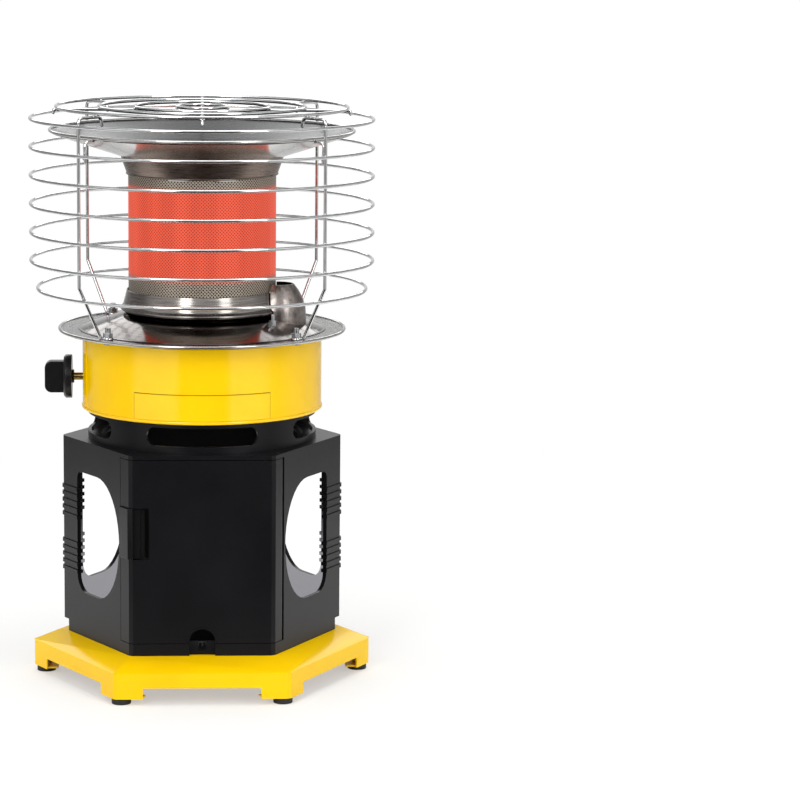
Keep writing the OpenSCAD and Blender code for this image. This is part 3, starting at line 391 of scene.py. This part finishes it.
# hot: heights in metres between which the screen glows; edge: how softly; diagonal: pitch along slanted wires
weave = {"hot": (0.3005, 0.366), "edge": 0.0035, "wireMm": 1.75, "diagonal": 1.414, "streaks": (4.6, 1, 5),
         "uneven": 0.16, "glow": 0.92, "depthMm": 0.3}


def wovenScreen(name):
    # woven heat-proof wire cloth, drawn about half as coarse again as the real 1.2 mm weave so that it shows:
    # red hot between the two heights, bare grey-brown wire above and below with painted shade between the
    # wires and a painted highlight on each
    material, tree = newMaterial(name)
    radius, angle, height = turnedPlace(tree)
    along = add(tree, "ShaderNodeMath", {0: angle, 1: radius}, operation="MULTIPLY").outputs[0]
    perMetre = tau / (weave["wireMm"] * mm * weave["diagonal"])
    waves = []
    for sign in (1, -1):
        slant = add(tree, "ShaderNodeMath", {0: height, 1: sign, 2: along},
                    operation="MULTIPLY_ADD").outputs[0]
        turns = add(tree, "ShaderNodeMath", {0: slant, 1: perMetre}, operation="MULTIPLY").outputs[0]
        waves.append(add(tree, "ShaderNodeMath", {0: turns}, operation="SINE").outputs[0])
    cloth = add(tree, "ShaderNodeMath", {0: waves[0], 1: waves[1]}, operation="MAXIMUM").outputs[0]
    cloth = add(tree, "ShaderNodeMapRange", {"Value": cloth, "From Min": -0.6, "From Max": 1.0}).outputs[0]
    # cold wire: painted shade deep between the wires and a painted highlight on the raised wire
    metal, hot = (
        add(tree, "ShaderNodeValToRGB", {"Fac": cloth},
            stops=[(0.0, deep), (0.45, middle), (1.0, raised)]).outputs[0]
        for deep, middle, raised in (("#14110E", "#4A4038", "#D2C6B6"), ("#A82A1C", "#E84630", "#FF6A48")))
    # slow streaks up and down the cloth
    place = add(tree, "ShaderNodeCombineXYZ", {0: angle, 1: 0.0, 2: height}).outputs[0]
    place = add(tree, "ShaderNodeVectorMath", {0: place, 1: weave["streaks"]},
                operation="MULTIPLY").outputs[0]
    streak = add(tree, "ShaderNodeTexNoise", {"Vector": place, "Scale": 1.0, "Detail": 2.0}).outputs["Fac"]
    patch = add(tree, "ShaderNodeValToRGB", {"Fac": streak}, stops=[(0.38, "#8C1E14"), (0.62, "#FFFFFF")])
    hot = add(tree, "ShaderNodeMix", {"Factor": weave["uneven"], 6: hot, 7: patch.outputs[0]},
              data_type="RGBA", blend_type="MULTIPLY").outputs[2]
    rise, fall = (
        add(tree, "ShaderNodeMapRange", {"Value": height, "From Min": limit - edge, "From Max": limit + edge},
            interpolation_type="SMOOTHSTEP").outputs[0]
        for limit, edge in zip(weave["hot"], (weave["edge"], -weave["edge"])))
    glow = add(tree, "ShaderNodeMath", {0: rise, 1: fall}, operation="MULTIPLY").outputs[0]
    coldRelief, warmRelief = (
        add(tree, "ShaderNodeBump", {
            "Height": cloth, "Strength": strength, "Distance": weave["depthMm"] * mm}).outputs[0]
        for strength in (0.6, 0.5))
    cold = add(tree, "ShaderNodeBsdfPrincipled", {
        "Base Color": metal, "Metallic": 0.85, "Roughness": 0.42, "Normal": coldRelief})
    lit = add(tree, "ShaderNodeEmission", {"Color": hot, "Strength": weave["glow"]})
    sheen = add(tree, "ShaderNodeBsdfPrincipled", {
        "Base Color": linear("#3A1B14"), "Metallic": 0.3, "Roughness": 0.5, "Normal": warmRelief})
    warm = add(tree, "ShaderNodeAddShader", {0: lit.outputs[0], 1: sheen.outputs[0]})
    both = add(tree, "ShaderNodeMixShader", {0: glow, 1: cold.outputs[0], 2: warm.outputs[0]})
    add(tree, "ShaderNodeOutputMaterial", {"Surface": both.outputs[0]})
    return material


def rubber():
    # moulded rubber: dull black with a fine speckle of dust
    material, tree = newMaterial("black rubber")
    speckle = mottle(tree, sizeMm=1.2, detail=4)
    colour = add(tree, "ShaderNodeValToRGB", {"Fac": speckle}, stops=[(0.3, "#0F0F10"), (0.75, "#1D1D1E")])
    relief = add(tree, "ShaderNodeBump", {"Height": speckle, "Strength": 0.2, "Distance": 0.08 * mm})
    shader = add(tree, "ShaderNodeBsdfPrincipled", {
        "Base Color": colour.outputs[0], "Roughness": 0.62, "IOR": 1.52, "Normal": relief.outputs[0]})
    add(tree, "ShaderNodeOutputMaterial", {"Surface": shader.outputs[0]})
    return material


def glazedCeramic():
    # fired alumina under a clear glaze: warm white and glossy
    material, tree = newMaterial("glazed ceramic")
    cloud = mottle(tree, sizeMm=2.0, detail=2)
    colour = add(tree, "ShaderNodeValToRGB", {"Fac": cloud}, stops=[(0.3, "#D9D2C4"), (0.7, "#EFEBE1")])
    shader = add(tree, "ShaderNodeBsdfPrincipled", {
        "Base Color": colour.outputs[0], "Roughness": 0.18, "IOR": 1.6})
    add(tree, "ShaderNodeOutputMaterial", {"Surface": shader.outputs[0]})
    return material


paint = powderCoat("powder coat yellow, base", 0.2, 0.22)
drumPaint = powderCoat("powder coat yellow, drum", 0.55, 0.11)
plastic = mouldedAbs("black ABS", "#111012", "#161518", 0.3)
# black ABS for the shell's inner side, with painted light low down
innerPaintedLightPlastic = innerAbsPaintedLight()
latchPlastic = mouldedAbs("black ABS, smooth", "#121213", "#19191B", 0.16, grain=0.03)
knobPlastic = mouldedAbs("black phenolic", "#161617", "#1E1E20", 0.16, grain=0.03)
chrome = platedWire()
stainless = spunMetal("polished stainless", "#B4B3B1", "#C9C8C6", 0.13, relief=0.06)
smoked = spunMetal("smoked nickel", "#6E625A", "#9C8E84", 0.27, patchy=0.3)
darkSteel = spunMetal("spun dark steel", "#77736F", "#9A9692", 0.17, relief=0.12)
scorched = spunMetal("scorched steel", "#7A6C66", "#9A8C84", 0.2, relief=0.08, patchy=0.6)
panSteel = spunMetal("brushed pan steel", "#6E6D6C", "#8C8B8A", 0.24)
mirrorSteel = spunMetal("polished cone steel", "#6E6967", "#85807D", 0.11, relief=0.04)
hoodSteel = platedSteel("satin hood steel", "#7E7672", "#A39B96", 0.3)
dishSteel = spunMetal("dish steel", "#2A2B2C", "#353637", 0.24, relief=0.08)
zinc = platedSteel("zinc plate", "#A3A5A8", "#C6C8CA", 0.28)
brass = platedSteel("machined brass", "#A98645", "#C7A45C", 0.24)
copper = platedSteel("drawn copper", "#9A5A3A", "#BC7450", 0.26)
casting = platedSteel("zinc casting", "#8C8E90", "#A9ABAD", 0.42)
# painted shade: a dark strip that draws the joint round the drum's cover plate
jointShade = platedSteel("painted shade in the plate's joint", "#A07C10", "#B08C1C", 0.6)
black = rubber()
ceramic = glazedCeramic()
cloth = wovenScreen("woven burner screen")
print("stage: materials ready")


# what each CAD node is made of
finishes = {
    "base_tray": paint, "rubber_feet": black, "foot_screws": zinc, "foot_nuts": zinc, "cylinder_cup": plastic,
    "cup_screws": zinc, "body_shell": plastic, "body_screws": zinc, "front_door": plastic, "hinge_pins": zinc,
    "door_latch": latchPlastic, "vent_collar": plastic, "collar_screws": zinc, "burner_housing": drumPaint,
    "housing_plate": drumPaint, "housing_screws": zinc, "heat_pan": panSteel, "pan_cone": mirrorSteel,
    "pan_bolts": zinc, "pan_nuts": zinc, "pan_stud": zinc, "guard_rings": chrome, "guard_uprights": chrome,
    "dish_clips": chrome, "top_grate": chrome, "burner_bowl": scorched, "burner_head": scorched,
    "mixing_tube": zinc, "tie_rod": zinc, "lower_reflector": darkSteel, "upper_collar": smoked,
    "top_reflector": stainless, "top_dish": dishSteel, "dish_nut": zinc, "pilot_hood": hoodSteel,
    "pilot_burner": brass, "igniter_electrode": ceramic, "thermocouple": copper, "pilot_pipe": copper,
    "thermocouple_lead": copper, "igniter_lead": black, "regulator": casting, "inlet_seal": black,
    "gas_valve": brass, "gas_jet": brass, "valve_bracket": zinc, "bracket_screws": zinc, "valve_stem": brass,
    "spring_cap": zinc, "return_spring": zinc, "control_knob": knobPlastic, "tilt_switch": plastic,
    "tilt_pendulum": casting, "burner_mesh": cloth, "inner_screen": cloth,
}
for name, finish in finishes.items():
    mesh = nodes[name].data
    mesh.materials.clear()
    mesh.materials.append(finish)
print("stage: finishes on", len(finishes), "CAD nodes")


def makePiece(name, shape, finish, *stands, sharp=35):
    # a new piece that stands for CAD nodes and hides them; it rides with the first of them
    mesh = bpy.data.meshes.new(name)
    bmesh.ops.recalc_face_normals(shape, faces=shape.faces)
    shape.to_mesh(mesh)
    shape.free()
    mesh.shade_smooth()
    mesh.set_sharp_from_angle(angle=math.radians(sharp))
    for each in finish if isinstance(finish, list) else [finish]:
        mesh.materials.append(each)
    piece = bpy.data.objects.new(name, mesh)
    bpy.context.scene.collection.objects.link(piece)
    evened = piece.modifiers.new("even shading", "WEIGHTED_NORMAL")
    evened.keep_sharp = True
    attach(piece, body_of(nodes[stands[0]])[0])
    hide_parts(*stands)
    return piece


# points closer than merge, in mm, become one; edges flatter than flat, in degrees, go; those over sharp are
# rounded over
softening = {"merge": 0.002, "flat": 0.5, "sharp": 25, "segments": 2}


def softened(node, width):
    # a CAD node's shape with its sharp edges rounded over by width
    shape = bmesh.new()
    shape.from_mesh(nodes[node].data)
    bmesh.ops.remove_doubles(shape, verts=shape.verts, dist=softening["merge"] * mm)
    bmesh.ops.dissolve_limit(shape, angle_limit=math.radians(softening["flat"]), verts=shape.verts,
                             edges=shape.edges)
    sharp = math.radians(softening["sharp"])
    edges = [e for e in shape.edges if e.is_manifold and e.calc_face_angle() > sharp]
    bmesh.ops.bevel(shape, geom=edges, offset=width * mm, segments=softening["segments"], profile=0.5,
                    affect="EDGES", clamp_overlap=True)
    return shape


# a corner whose half angle is over straight, in radians, stays; an arc takes at most this share of each side
arcs = {"straight": 1.5, "share": 0.48}


def rounded(path, radius, steps=5, closed=False):
    # a path with each inner corner turned through an arc
    path = [Vector(p) for p in path]
    count = len(path)
    result = []
    for i, corner in enumerate(path):
        if not closed and i in (0, count - 1):
            result.append(corner)
            continue
        before, after = path[i - 1] - corner, path[(i + 1) % count] - corner
        half = before.angle(after) / 2
        if half > arcs["straight"]:
            result.append(corner)
            continue
        reach = min(radius / math.tan(half), arcs["share"] * before.length, arcs["share"] * after.length)
        u, v = before.normalized(), after.normalized()
        middle = corner + (u + v).normalized() * (reach / math.cos(half))
        size = reach * math.tan(half)
        first, last = corner + u * reach - middle, corner + v * reach - middle
        turn = first.angle(last)
        for k in range(steps + 1):
            t = k / steps
            spoke = (first * math.sin((1 - t) * turn) + last * math.sin(t * turn)) / math.sin(turn)
            result.append(middle + spoke.normalized() * size)
    return result


def turned(shape, profile, middle=(0, 0), sides=160, finish=0):
    # turns a closed outline of (radius, height) round an upright axis, in one of the piece's finishes
    rings = []
    for k in range(sides):
        c, s = math.cos(tau * k / sides), math.sin(tau * k / sides)
        rings.append([shape.verts.new(((middle[0] + p[0] * c) * mm, (middle[1] + p[0] * s) * mm, p[1] * mm))
                      for p in profile])
    for k in range(sides):
        here, there = rings[k], rings[(k + 1) % sides]
        for j in range(len(profile)):
            n = (j + 1) % len(profile)
            shape.faces.new((here[j], there[j], there[n], here[n])).material_index = finish


def cutEdge(low, high, out, thickness):
    # points across the cut edge of a sheet, standing out in a low curve
    return [low.lerp(high, t) + out * thickness * 0.5 * math.sin(math.pi * t) for t in (0.2, 0.5, 0.8)]


def sheetOutline(path, thickness, bend):
    # the closed outline of a sheet: the path is its lower or inner face, with each corner bent to a radius
    path = [Vector((p.x, p.y)) for p in rounded([Vector((r, z, 0)) for r, z in path], bend, 5)]
    upper = []
    for i, p in enumerate(path):
        a, b = path[max(i - 1, 0)], path[min(i + 1, len(path) - 1)]
        along = (b - a).normalized()
        upper.append(p + Vector((-along.y, along.x)) * thickness)
    outward = (path[-1] - path[-2]).normalized()
    inward = (path[0] - path[1]).normalized()
    return path + cutEdge(path[-1], upper[-1], outward, thickness) + upper[::-1] \
        + cutEdge(upper[0], path[0], inward, thickness)


def ringOutline(radius, height, across, tall=None, steps=14):
    # a round or oval section standing off the axis, for a bead or a wire hoop
    tall = tall or across
    return [(radius + across * math.cos(tau * k / steps), height + tall * math.sin(tau * k / steps))
            for k in range(steps)]


def tube(shape, path, radius, sides=12, radii=None):
    # wire or pipe along a path of points, with both ends rounded in two steps of (reach, width)
    ends = [(0.5, 0.87), (0.85, 0.5)]
    path = [Vector(p) for p in path]
    first, last = (path[0] - path[1]).normalized(), (path[-1] - path[-2]).normalized()
    full = radii or [radius] * len(path)
    points = [path[0] + first * reach * full[0] for reach, _ in reversed(ends)] + path \
        + [path[-1] + last * reach * full[-1] for reach, _ in ends]
    full = [full[0] * width for _, width in reversed(ends)] + list(full) \
        + [full[-1] * width for _, width in ends]
    normal = None
    rings = []
    for i, p in enumerate(points):
        along = (points[min(i + 1, len(points) - 1)] - points[max(i - 1, 0)]).normalized()
        if normal is None:
            normal = along.orthogonal()
        normal = (normal - along * normal.dot(along)).normalized()
        side = along.cross(normal)
        spokes = [normal * math.cos(tau * k / sides) + side * math.sin(tau * k / sides) for k in range(sides)]
        rings.append([shape.verts.new((p + spoke * full[i]) * mm) for spoke in spokes])
    for here, there in zip(rings, rings[1:]):
        for k in range(sides):
            n = (k + 1) % sides
            shape.faces.new((here[k], here[n], there[n], there[k]))
    shape.faces.new(rings[0])
    shape.faces.new(rings[-1])


def around(angle, points):
    # points of (radius, side, height) set at an angle round the heater's axis
    c, s = math.cos(math.radians(angle)), math.sin(math.radians(angle))
    return [Vector((r * c - t * s, r * s + t * c, z)) for r, t, z in points]


def weld(shape, angle, radius, height, length=2.2, size=0.8):
    # a spot weld's nugget, lying along the hoop and thinner towards its ends
    spread = (-1, -0.6, 0, 0.6, 1)
    path = around(angle, [(radius, t * length / 2, height) for t in spread])
    tube(shape, path, size, 8, [size * (1.05 - 0.6 * t * t) for t in spread])


def curvedTab(shape, angle, width, radius, low, high, thickness, finish=0, steps=6):
    # a strip that follows a round wall: angle of its middle, width along the wall, lower and upper edges
    half = math.degrees(width / radius) / 2
    eased = 0.2  # how far the outer face stops short of the inner one, at each edge
    corners = [(radius, 0, low), (radius + thickness, 0, low + eased), (radius + thickness, 0, high - eased),
               (radius, 0, high)]
    rows = []
    for k in range(steps + 1):
        turn = angle - half + 2 * half * k / steps
        rows.append([shape.verts.new(p * mm) for p in around(turn, corners)])
    for here, there in zip(rows, rows[1:]):
        for k in range(4):
            n = (k + 1) % 4
            shape.faces.new((here[k], there[k], there[n], here[n])).material_index = finish
    shape.faces.new(rows[0]).material_index = finish
    shape.faces.new(rows[-1]).material_index = finish


def spun(name, path, thickness, finish, *stands, bend, sides=160):
    # a spun sheet: its path with rounded bends, given thickness and turned
    shape = bmesh.new()
    turned(shape, sheetOutline(path, thickness, bend), sides=sides)
    makePiece(name, shape, finish, *stands, sharp=40)


# the shell's inner side, which takes the painted light: faces in the back half, further out than this in mm,
# that look towards the axis
innerSide = {"radius": 62, "facing": -0.6}
# width of the rounding on each moulded or pressed edge, in mm
edgeRound = {"body_shell": 0.7, "front_door": 0.6, "door_latch": 0.7, "base_tray": 0.6, "vent_collar": 0.6,
             "control_knob": 1.0, "cylinder_cup": 0.4, "rubber_feet": 0.5, "pan_nuts": 0.4, "pan_bolts": 0.3,
             "pan_stud": 0.3, "pilot_hood": 0.3}


def markInnerSide(shape):
    for face in shape.faces:
        centre = face.calc_center_median()
        reach = math.hypot(centre.x, centre.y)
        inward = face.normal.x * centre.x + face.normal.y * centre.y < innerSide["facing"] * reach
        if inward and centre.y > 0 and reach > innerSide["radius"] * mm:
            face.material_index = 1


for node, width in edgeRound.items():
    shape = softened(node, width)
    finish = finishes[node]
    if node == "body_shell":
        # faces on the shell's inner side get the material with painted light
        markInnerSide(shape)
        finish = [plastic, innerPaintedLightPlastic]
    makePiece(node.replace("_", "-") + "-soft", shape, finish, node)
print("stage: moulded pieces ready")


# from here on heights and radii are in mm
screen = {"radius": 54.4, "top": 380.0}
quarters = (45, 135, 225, 315)
# wire: radius of all guard wire; foot: where the upright's foot starts and bends; knee: its bend above the
# lowest ring; hook: (in, in, down) from the outer hoop, for the hook that carries the grate; sunk: how far
# the wires press in
guard = {"wire": 1.2, "radius": 125.92, "lowRadius": 121.07, "topRing": 414.95, "pitch": 20.8, "rings": 7,
         "boltCircle": 95.87, "eye": 3.0, "loop": (1.8, 2.0), "loopBend": 0.8, "footHeight": 261.3,
         "foot": (0.6, 6.7), "knee": 9.5, "bend": 4, "hook": (5, 6.2, 6), "sunk": 0.05}
# spoke: (past the inner hoop, past the outer one, tip); drop: how far the tip turns down
grate = {"hoops": (106.97, 75.57, 49.37, 18.87), "height": 423.45, "spoke": (2, 1.6, 2), "drop": 2.6,
         "curl": 2.6, "sunk": 0.02, "weld": 3.4, "weldSize": 0.75}
uprightRadius = guard["radius"] - 2 * guard["wire"] + guard["sunk"]
armHeight = grate["height"] - 2 * guard["wire"] - guard["sunk"]
spokeHeight = grate["height"] - 2 * guard["wire"] - grate["sunk"]


def guardRings():
    shape = bmesh.new()
    for i in range(guard["rings"]):
        last = i == guard["rings"] - 1
        radius = guard["lowRadius"] if last else guard["radius"]
        height = guard["topRing"] - i * guard["pitch"]
        turned(shape, ringOutline(radius, height, guard["wire"]), sides=200)
        for angle in quarters:
            weld(shape, angle, radius - guard["wire"] * 1.1 - 0.1, height)
    makePiece("guard-rings-wire", shape, chrome, "guard_rings", sharp=60)


def guardUprights():
    shape = bmesh.new()
    bolt, eye, foot, wide, tall = guard["boltCircle"], guard["eye"], guard["footHeight"], *guard["loop"]
    low = foot - guard["wire"]
    kneeHeight = guard["topRing"] - (guard["rings"] - 1) * guard["pitch"] + guard["knee"]
    outer = grate["hoops"][0]
    loop = rounded([(eye - wide / 2, low), (eye + wide / 2, low), (eye + wide / 2, low + tall),
                    (eye - wide / 2, low + tall)], guard["loopBend"], 3, closed=True)
    start, turn = guard["foot"]
    hookIn, tipIn, tipDown = guard["hook"]
    for angle in quarters:
        at = around(angle, [(bolt, 0, 0)])[0]
        turned(shape, loop, (at.x, at.y), sides=36)
        path = [(bolt + eye + start, 0, foot), (bolt + turn, 0, foot), (uprightRadius, 0, kneeHeight),
                (uprightRadius, 0, armHeight), (outer - hookIn, 0, armHeight),
                (outer - tipIn, 0, armHeight - tipDown)]
        tube(shape, rounded(around(angle, path), guard["bend"], 7), guard["wire"])
    makePiece("guard-uprights-wire", shape, chrome, "guard_uprights", sharp=60)


# rod: radius of the hole for the tie rod; ridge: (radius, up) of the ring pressed round it; tilt: the cone's
# rise; lip: (in, down) from the bead to the sheet's end; inset: how much smaller the reflector below is
dish = {"floor": 387.7, "flat": 59.8, "radius": 112.77, "bead": 1.2, "beadHeight": 406.35, "sheet": 0.8,
        "bend": 7, "rod": 2.45, "ridge": ((26, 0), (30, 0.6), (34, 0)), "tilt": 17, "lip": (0.6, 0.4),
        "inset": 3, "gap": 0.05}
# leg, knee and stub: how far in from the upright, and how far below the clip's arm
clip = {"leg": (4.5, 14), "knee": (3.5, 0), "stub": ((4, 12), (3.9, 9.5)), "stubWire": 0.9, "bend": 3.5,
        "sunk": 0.05}


def dishClips():
    shape = bmesh.new()
    side = 2 * guard["wire"] - clip["sunk"]
    height = dish["beadHeight"] - dish["bead"] - guard["wire"] - clip["sunk"]
    for angle in quarters:
        path = [(uprightRadius - near, side, height - down) for near, down in (clip["leg"], clip["knee"])]
        path.append((dish["radius"] - dish["bead"], side, height))
        tube(shape, rounded(around(angle, path), clip["bend"], 6), guard["wire"])
        stub = [(uprightRadius - near, side / 2, height - down) for near, down in clip["stub"]]
        tube(shape, around(angle, stub), clip["stubWire"], 8)
    makePiece("dish-clips-wire", shape, chrome, "dish_clips", sharp=60)


def topGrate():
    shape = bmesh.new()
    hoops, height = grate["hoops"], grate["height"]
    for radius in hoops:
        turned(shape, ringOutline(radius, height, guard["wire"]), sides=120)
    start, turn, tip = grate["spoke"]
    for angle in (0, 90, 180, 270):
        path = [(hoops[-1] - start, 0, spokeHeight), (hoops[0] + turn, 0, spokeHeight),
                (hoops[0] + tip, 0, spokeHeight - grate["drop"])]
        tube(shape, rounded(around(angle, path), grate["curl"], 6), guard["wire"])
        for radius in hoops:
            weld(shape, angle, radius, height - guard["wire"], length=grate["weld"], size=grate["weldSize"])
    makePiece("top-grate-wire", shape, chrome, "top_grate", sharp=60)


def topDish():
    rim = dish["radius"] - dish["bead"]
    low = dish["floor"] + dish["sheet"] + dish["gap"]
    lipIn, lipDown = dish["lip"]
    shape = bmesh.new()
    path = [(dish["rod"], low)] + [(radius, low + up) for radius, up in dish["ridge"]] \
        + [(dish["flat"], low), (rim - lipIn, low + dish["tilt"] - lipDown)]
    turned(shape, sheetOutline(path, dish["sheet"], dish["bend"]))
    turned(shape, ringOutline(rim, dish["beadHeight"], dish["bead"], steps=18), sides=200, finish=1)
    makePiece("top-dish-spun", shape, [dishSteel, stainless], "top_dish", sharp=40)
    outer = dish["radius"] - dish["inset"]
    share = (outer - dish["flat"]) / (rim - dish["flat"])
    path = [(dish["rod"], dish["floor"]), (dish["flat"], dish["floor"]),
            (outer, dish["floor"] + dish["tilt"] * share)]
    spun("top-reflector-spun", path, dish["sheet"], stainless, "top_reflector", bend=dish["bend"])


# side: from the screen's upper end; bead: (out, up, radius); lid: its hole, and how far past the screen;
# tabs: angles of the four pressed tabs that hold the screen, and their lower and upper edges
collar = {"side": ((4.6, 7.4), (3.2, 3), (1.6, -1.4), (0.3, -5)), "sheet": 0.8, "bend": 4,
          "bead": (1.0, -5.2, 0.7), "lid": (20, 2.4), "tabs": (-72, -108, 72, 108), "tabWidth": 16,
          "tabEdges": (372.9, 375.6), "tabSheet": 0.6, "tabProud": 0.15}


def upperCollar():
    r, top, sheet = screen["radius"], screen["top"], collar["sheet"]
    shape = bmesh.new()
    path = [(r + out, top + up) for out, up in collar["side"]]
    turned(shape, sheetOutline(path, sheet, collar["bend"]))
    out, up, bead = collar["bead"]
    turned(shape, ringOutline(r + out, top + up, bead, steps=10))
    hole, past = collar["lid"]
    turned(shape, [(hole, top), (r + past, top), (r + past, top + sheet), (hole, top + sheet)], sides=96)
    low, high = collar["tabEdges"]
    for angle in collar["tabs"]:
        curvedTab(shape, angle, collar["tabWidth"], r + collar["tabProud"], low, high, collar["tabSheet"], 1)
    makePiece("upper-collar-spun", shape, [smoked, stainless], "upper_collar", sharp=40)


# side and plate: out from the screen's wall, and up from the floor
skirt = {"floor": 274.2, "side": ((5.4, 0), (6, 0.5), (6, 1.6), (4, 3.8), (3.2, 7), (1.3, 14.5)),
         "sheet": 0.8, "bend": 2.5, "plate": (-14.4, 5.5)}


def lowerReflector():
    r, floor, sheet = screen["radius"], skirt["floor"], skirt["sheet"]
    inner, outer = (r + out for out in skirt["plate"])
    shape = bmesh.new()
    turned(shape, [(inner, floor), (outer, floor), (outer, floor + sheet), (inner, floor + sheet)], sides=96)
    path = [(r + out, floor + up) for out, up in skirt["side"]]
    turned(shape, sheetOutline(path, sheet, skirt["bend"]))
    makePiece("lower-reflector-spun", shape, darkSteel, "lower_reflector", sharp=40)


# side: (radius, up) from the floor that the bowl and the pan share
bowl = {"side": ((12, 0), (42.1, 0), (55.1, 16.2)), "sheet": 1, "bend": 5}
pan = {"floor": 257.0, "hole": 12, "step": (87.5, 90.4), "shelf": 4.3, "rim": 106.27, "bead": 1.2, "lip": 0.6,
       "sheet": 1, "bend": 2.2}
# top: out from the screen and up from the foot; lip: its two radii, out from the drum's wall
cone = {"foot": 3.1, "top": (2.6, 11.2), "lip": (1, 2.7), "sheet": 0.5, "bend": 1}


def burnerBowl():
    path = [(radius, pan["floor"] + up) for radius, up in bowl["side"]]
    spun("burner-bowl-spun", path, bowl["sheet"], scorched, "burner_bowl", bend=bowl["bend"])


def heatPan():
    sheet = pan["sheet"]
    floor = pan["floor"] - sheet
    rim = pan["rim"] - pan["bead"]
    shelf = pan["floor"] + pan["shelf"] - pan["bead"]
    low, high = pan["step"]
    path = [(pan["hole"], floor), (low, floor), (high, shelf - sheet), (rim - pan["lip"], shelf - sheet)]
    shape = bmesh.new()
    turned(shape, sheetOutline(path, sheet, pan["bend"]), sides=192)
    turned(shape, ringOutline(rim, shelf, pan["bead"], steps=18), sides=192, finish=1)
    makePiece("heat-pan-spun", shape, [panSteel, stainless], "heat_pan", sharp=40)


def panCone():
    # the polished cone that lies in the pan, with its foot turned out into a narrow lip
    foot = pan["floor"] + cone["foot"]
    out, up = cone["top"]
    near, far = (drum["radius"] + past for past in cone["lip"])
    path = [(screen["radius"] + out, foot + up), (near, foot), (far, foot)]
    spun("pan-cone-spun", path, cone["sheet"], mirrorSteel, "pan_cone", bend=cone["bend"], sides=256)


# roll: (across, tall) of the rolled lower edge, as far in and up as rollAt says; seam: angle, width, height
# over the lower edge and under the top, and thickness of the fold where the sheet meets itself
drum = {"radius": 88.47, "low": 201.4, "top": 256.0, "edge": 0.5, "roll": (1.1, 1.3), "rollAt": (0.3, 1.3),
        "seam": (194, 9, 3, 0.8, 0.55), "seamSunk": 0.1}
# half: half its angle; joint: width of the joint round it, which is shown in shade just proud of the wall
plate = {"low": 2.6, "high": 21.4, "half": 33.3, "sheet": 0.5, "proud": 0.05, "joint": 0.5,
         "shadeProud": 0.03, "shadeSheet": 0.12, "overlap": 0.3}


def burnerHousing():
    shape = softened("burner_housing", drum["edge"])
    inset, up = drum["rollAt"]
    turned(shape, ringOutline(drum["radius"] - inset, drum["low"] + up, *drum["roll"]), sides=192)
    angle, width, above, below, fold = drum["seam"]
    low, high = drum["low"] + above, drum["top"] - below
    curvedTab(shape, angle, width, drum["radius"] - drum["seamSunk"], low, high, fold)
    makePiece("burner-housing-sheet", shape, drumPaint, "burner_housing")


def housingPlate():
    # the cover plate on the drum's front, with the shadowed joint round it
    shape = bmesh.new()
    low, high = drum["low"] + plate["low"], drum["low"] + plate["high"]
    half, joint = plate["half"], plate["joint"]
    wall, shade = drum["radius"] + plate["shadeProud"], plate["shadeSheet"]
    width = 2 * math.radians(half) * drum["radius"]
    curvedTab(shape, 270, width, drum["radius"] + plate["proud"], low, high, plate["sheet"], steps=40)
    # the strips of painted shade round the plate's joint
    curvedTab(shape, 270, width + 2 * joint, wall, high - plate["overlap"], high + joint, shade, 1, steps=40)
    for side in (-1, 1):
        turn = 270 + side * (half + math.degrees(joint / 2 / drum["radius"]))
        curvedTab(shape, turn, joint, wall, low, high, shade, 1, steps=2)
    makePiece("housing-plate-pressed", shape, [drumPaint, jointShade], "housing_plate")


# push: how far the knob goes in, which the spring gives up
spring = {"wire": 0.45, "turns": 5, "push": 2.5, "pointsPerTurn": 24}


def returnSpring():
    # the coil spring behind the knob, wound to fill the CAD spring's box
    low, high = (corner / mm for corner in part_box("return_spring"))
    middle = (low + high) / 2
    radius = (high.y - low.y) / 2 - spring["wire"]
    length = high.x - low.x - 2 * spring["wire"]
    count = spring["turns"] * spring["pointsPerTurn"]
    path = []
    for k in range(count + 1):
        turn = tau * spring["turns"] * k / count
        path.append((high.x - spring["wire"] - length * k / count, middle.y + radius * math.cos(turn),
                     middle.z + radius * math.sin(turn)))
    shape = bmesh.new()
    tube(shape, path, spring["wire"], 10)
    piece = makePiece("return-spring-coil", shape, zinc, "return_spring", sharp=60)
    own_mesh(piece)


returnSpring()
guardRings()
guardUprights()
dishClips()
topGrate()
topDish()
upperCollar()
lowerReflector()
burnerBowl()
heatPan()
panCone()
burnerHousing()
housingPlate()
print("stage: wire and spun pieces ready")
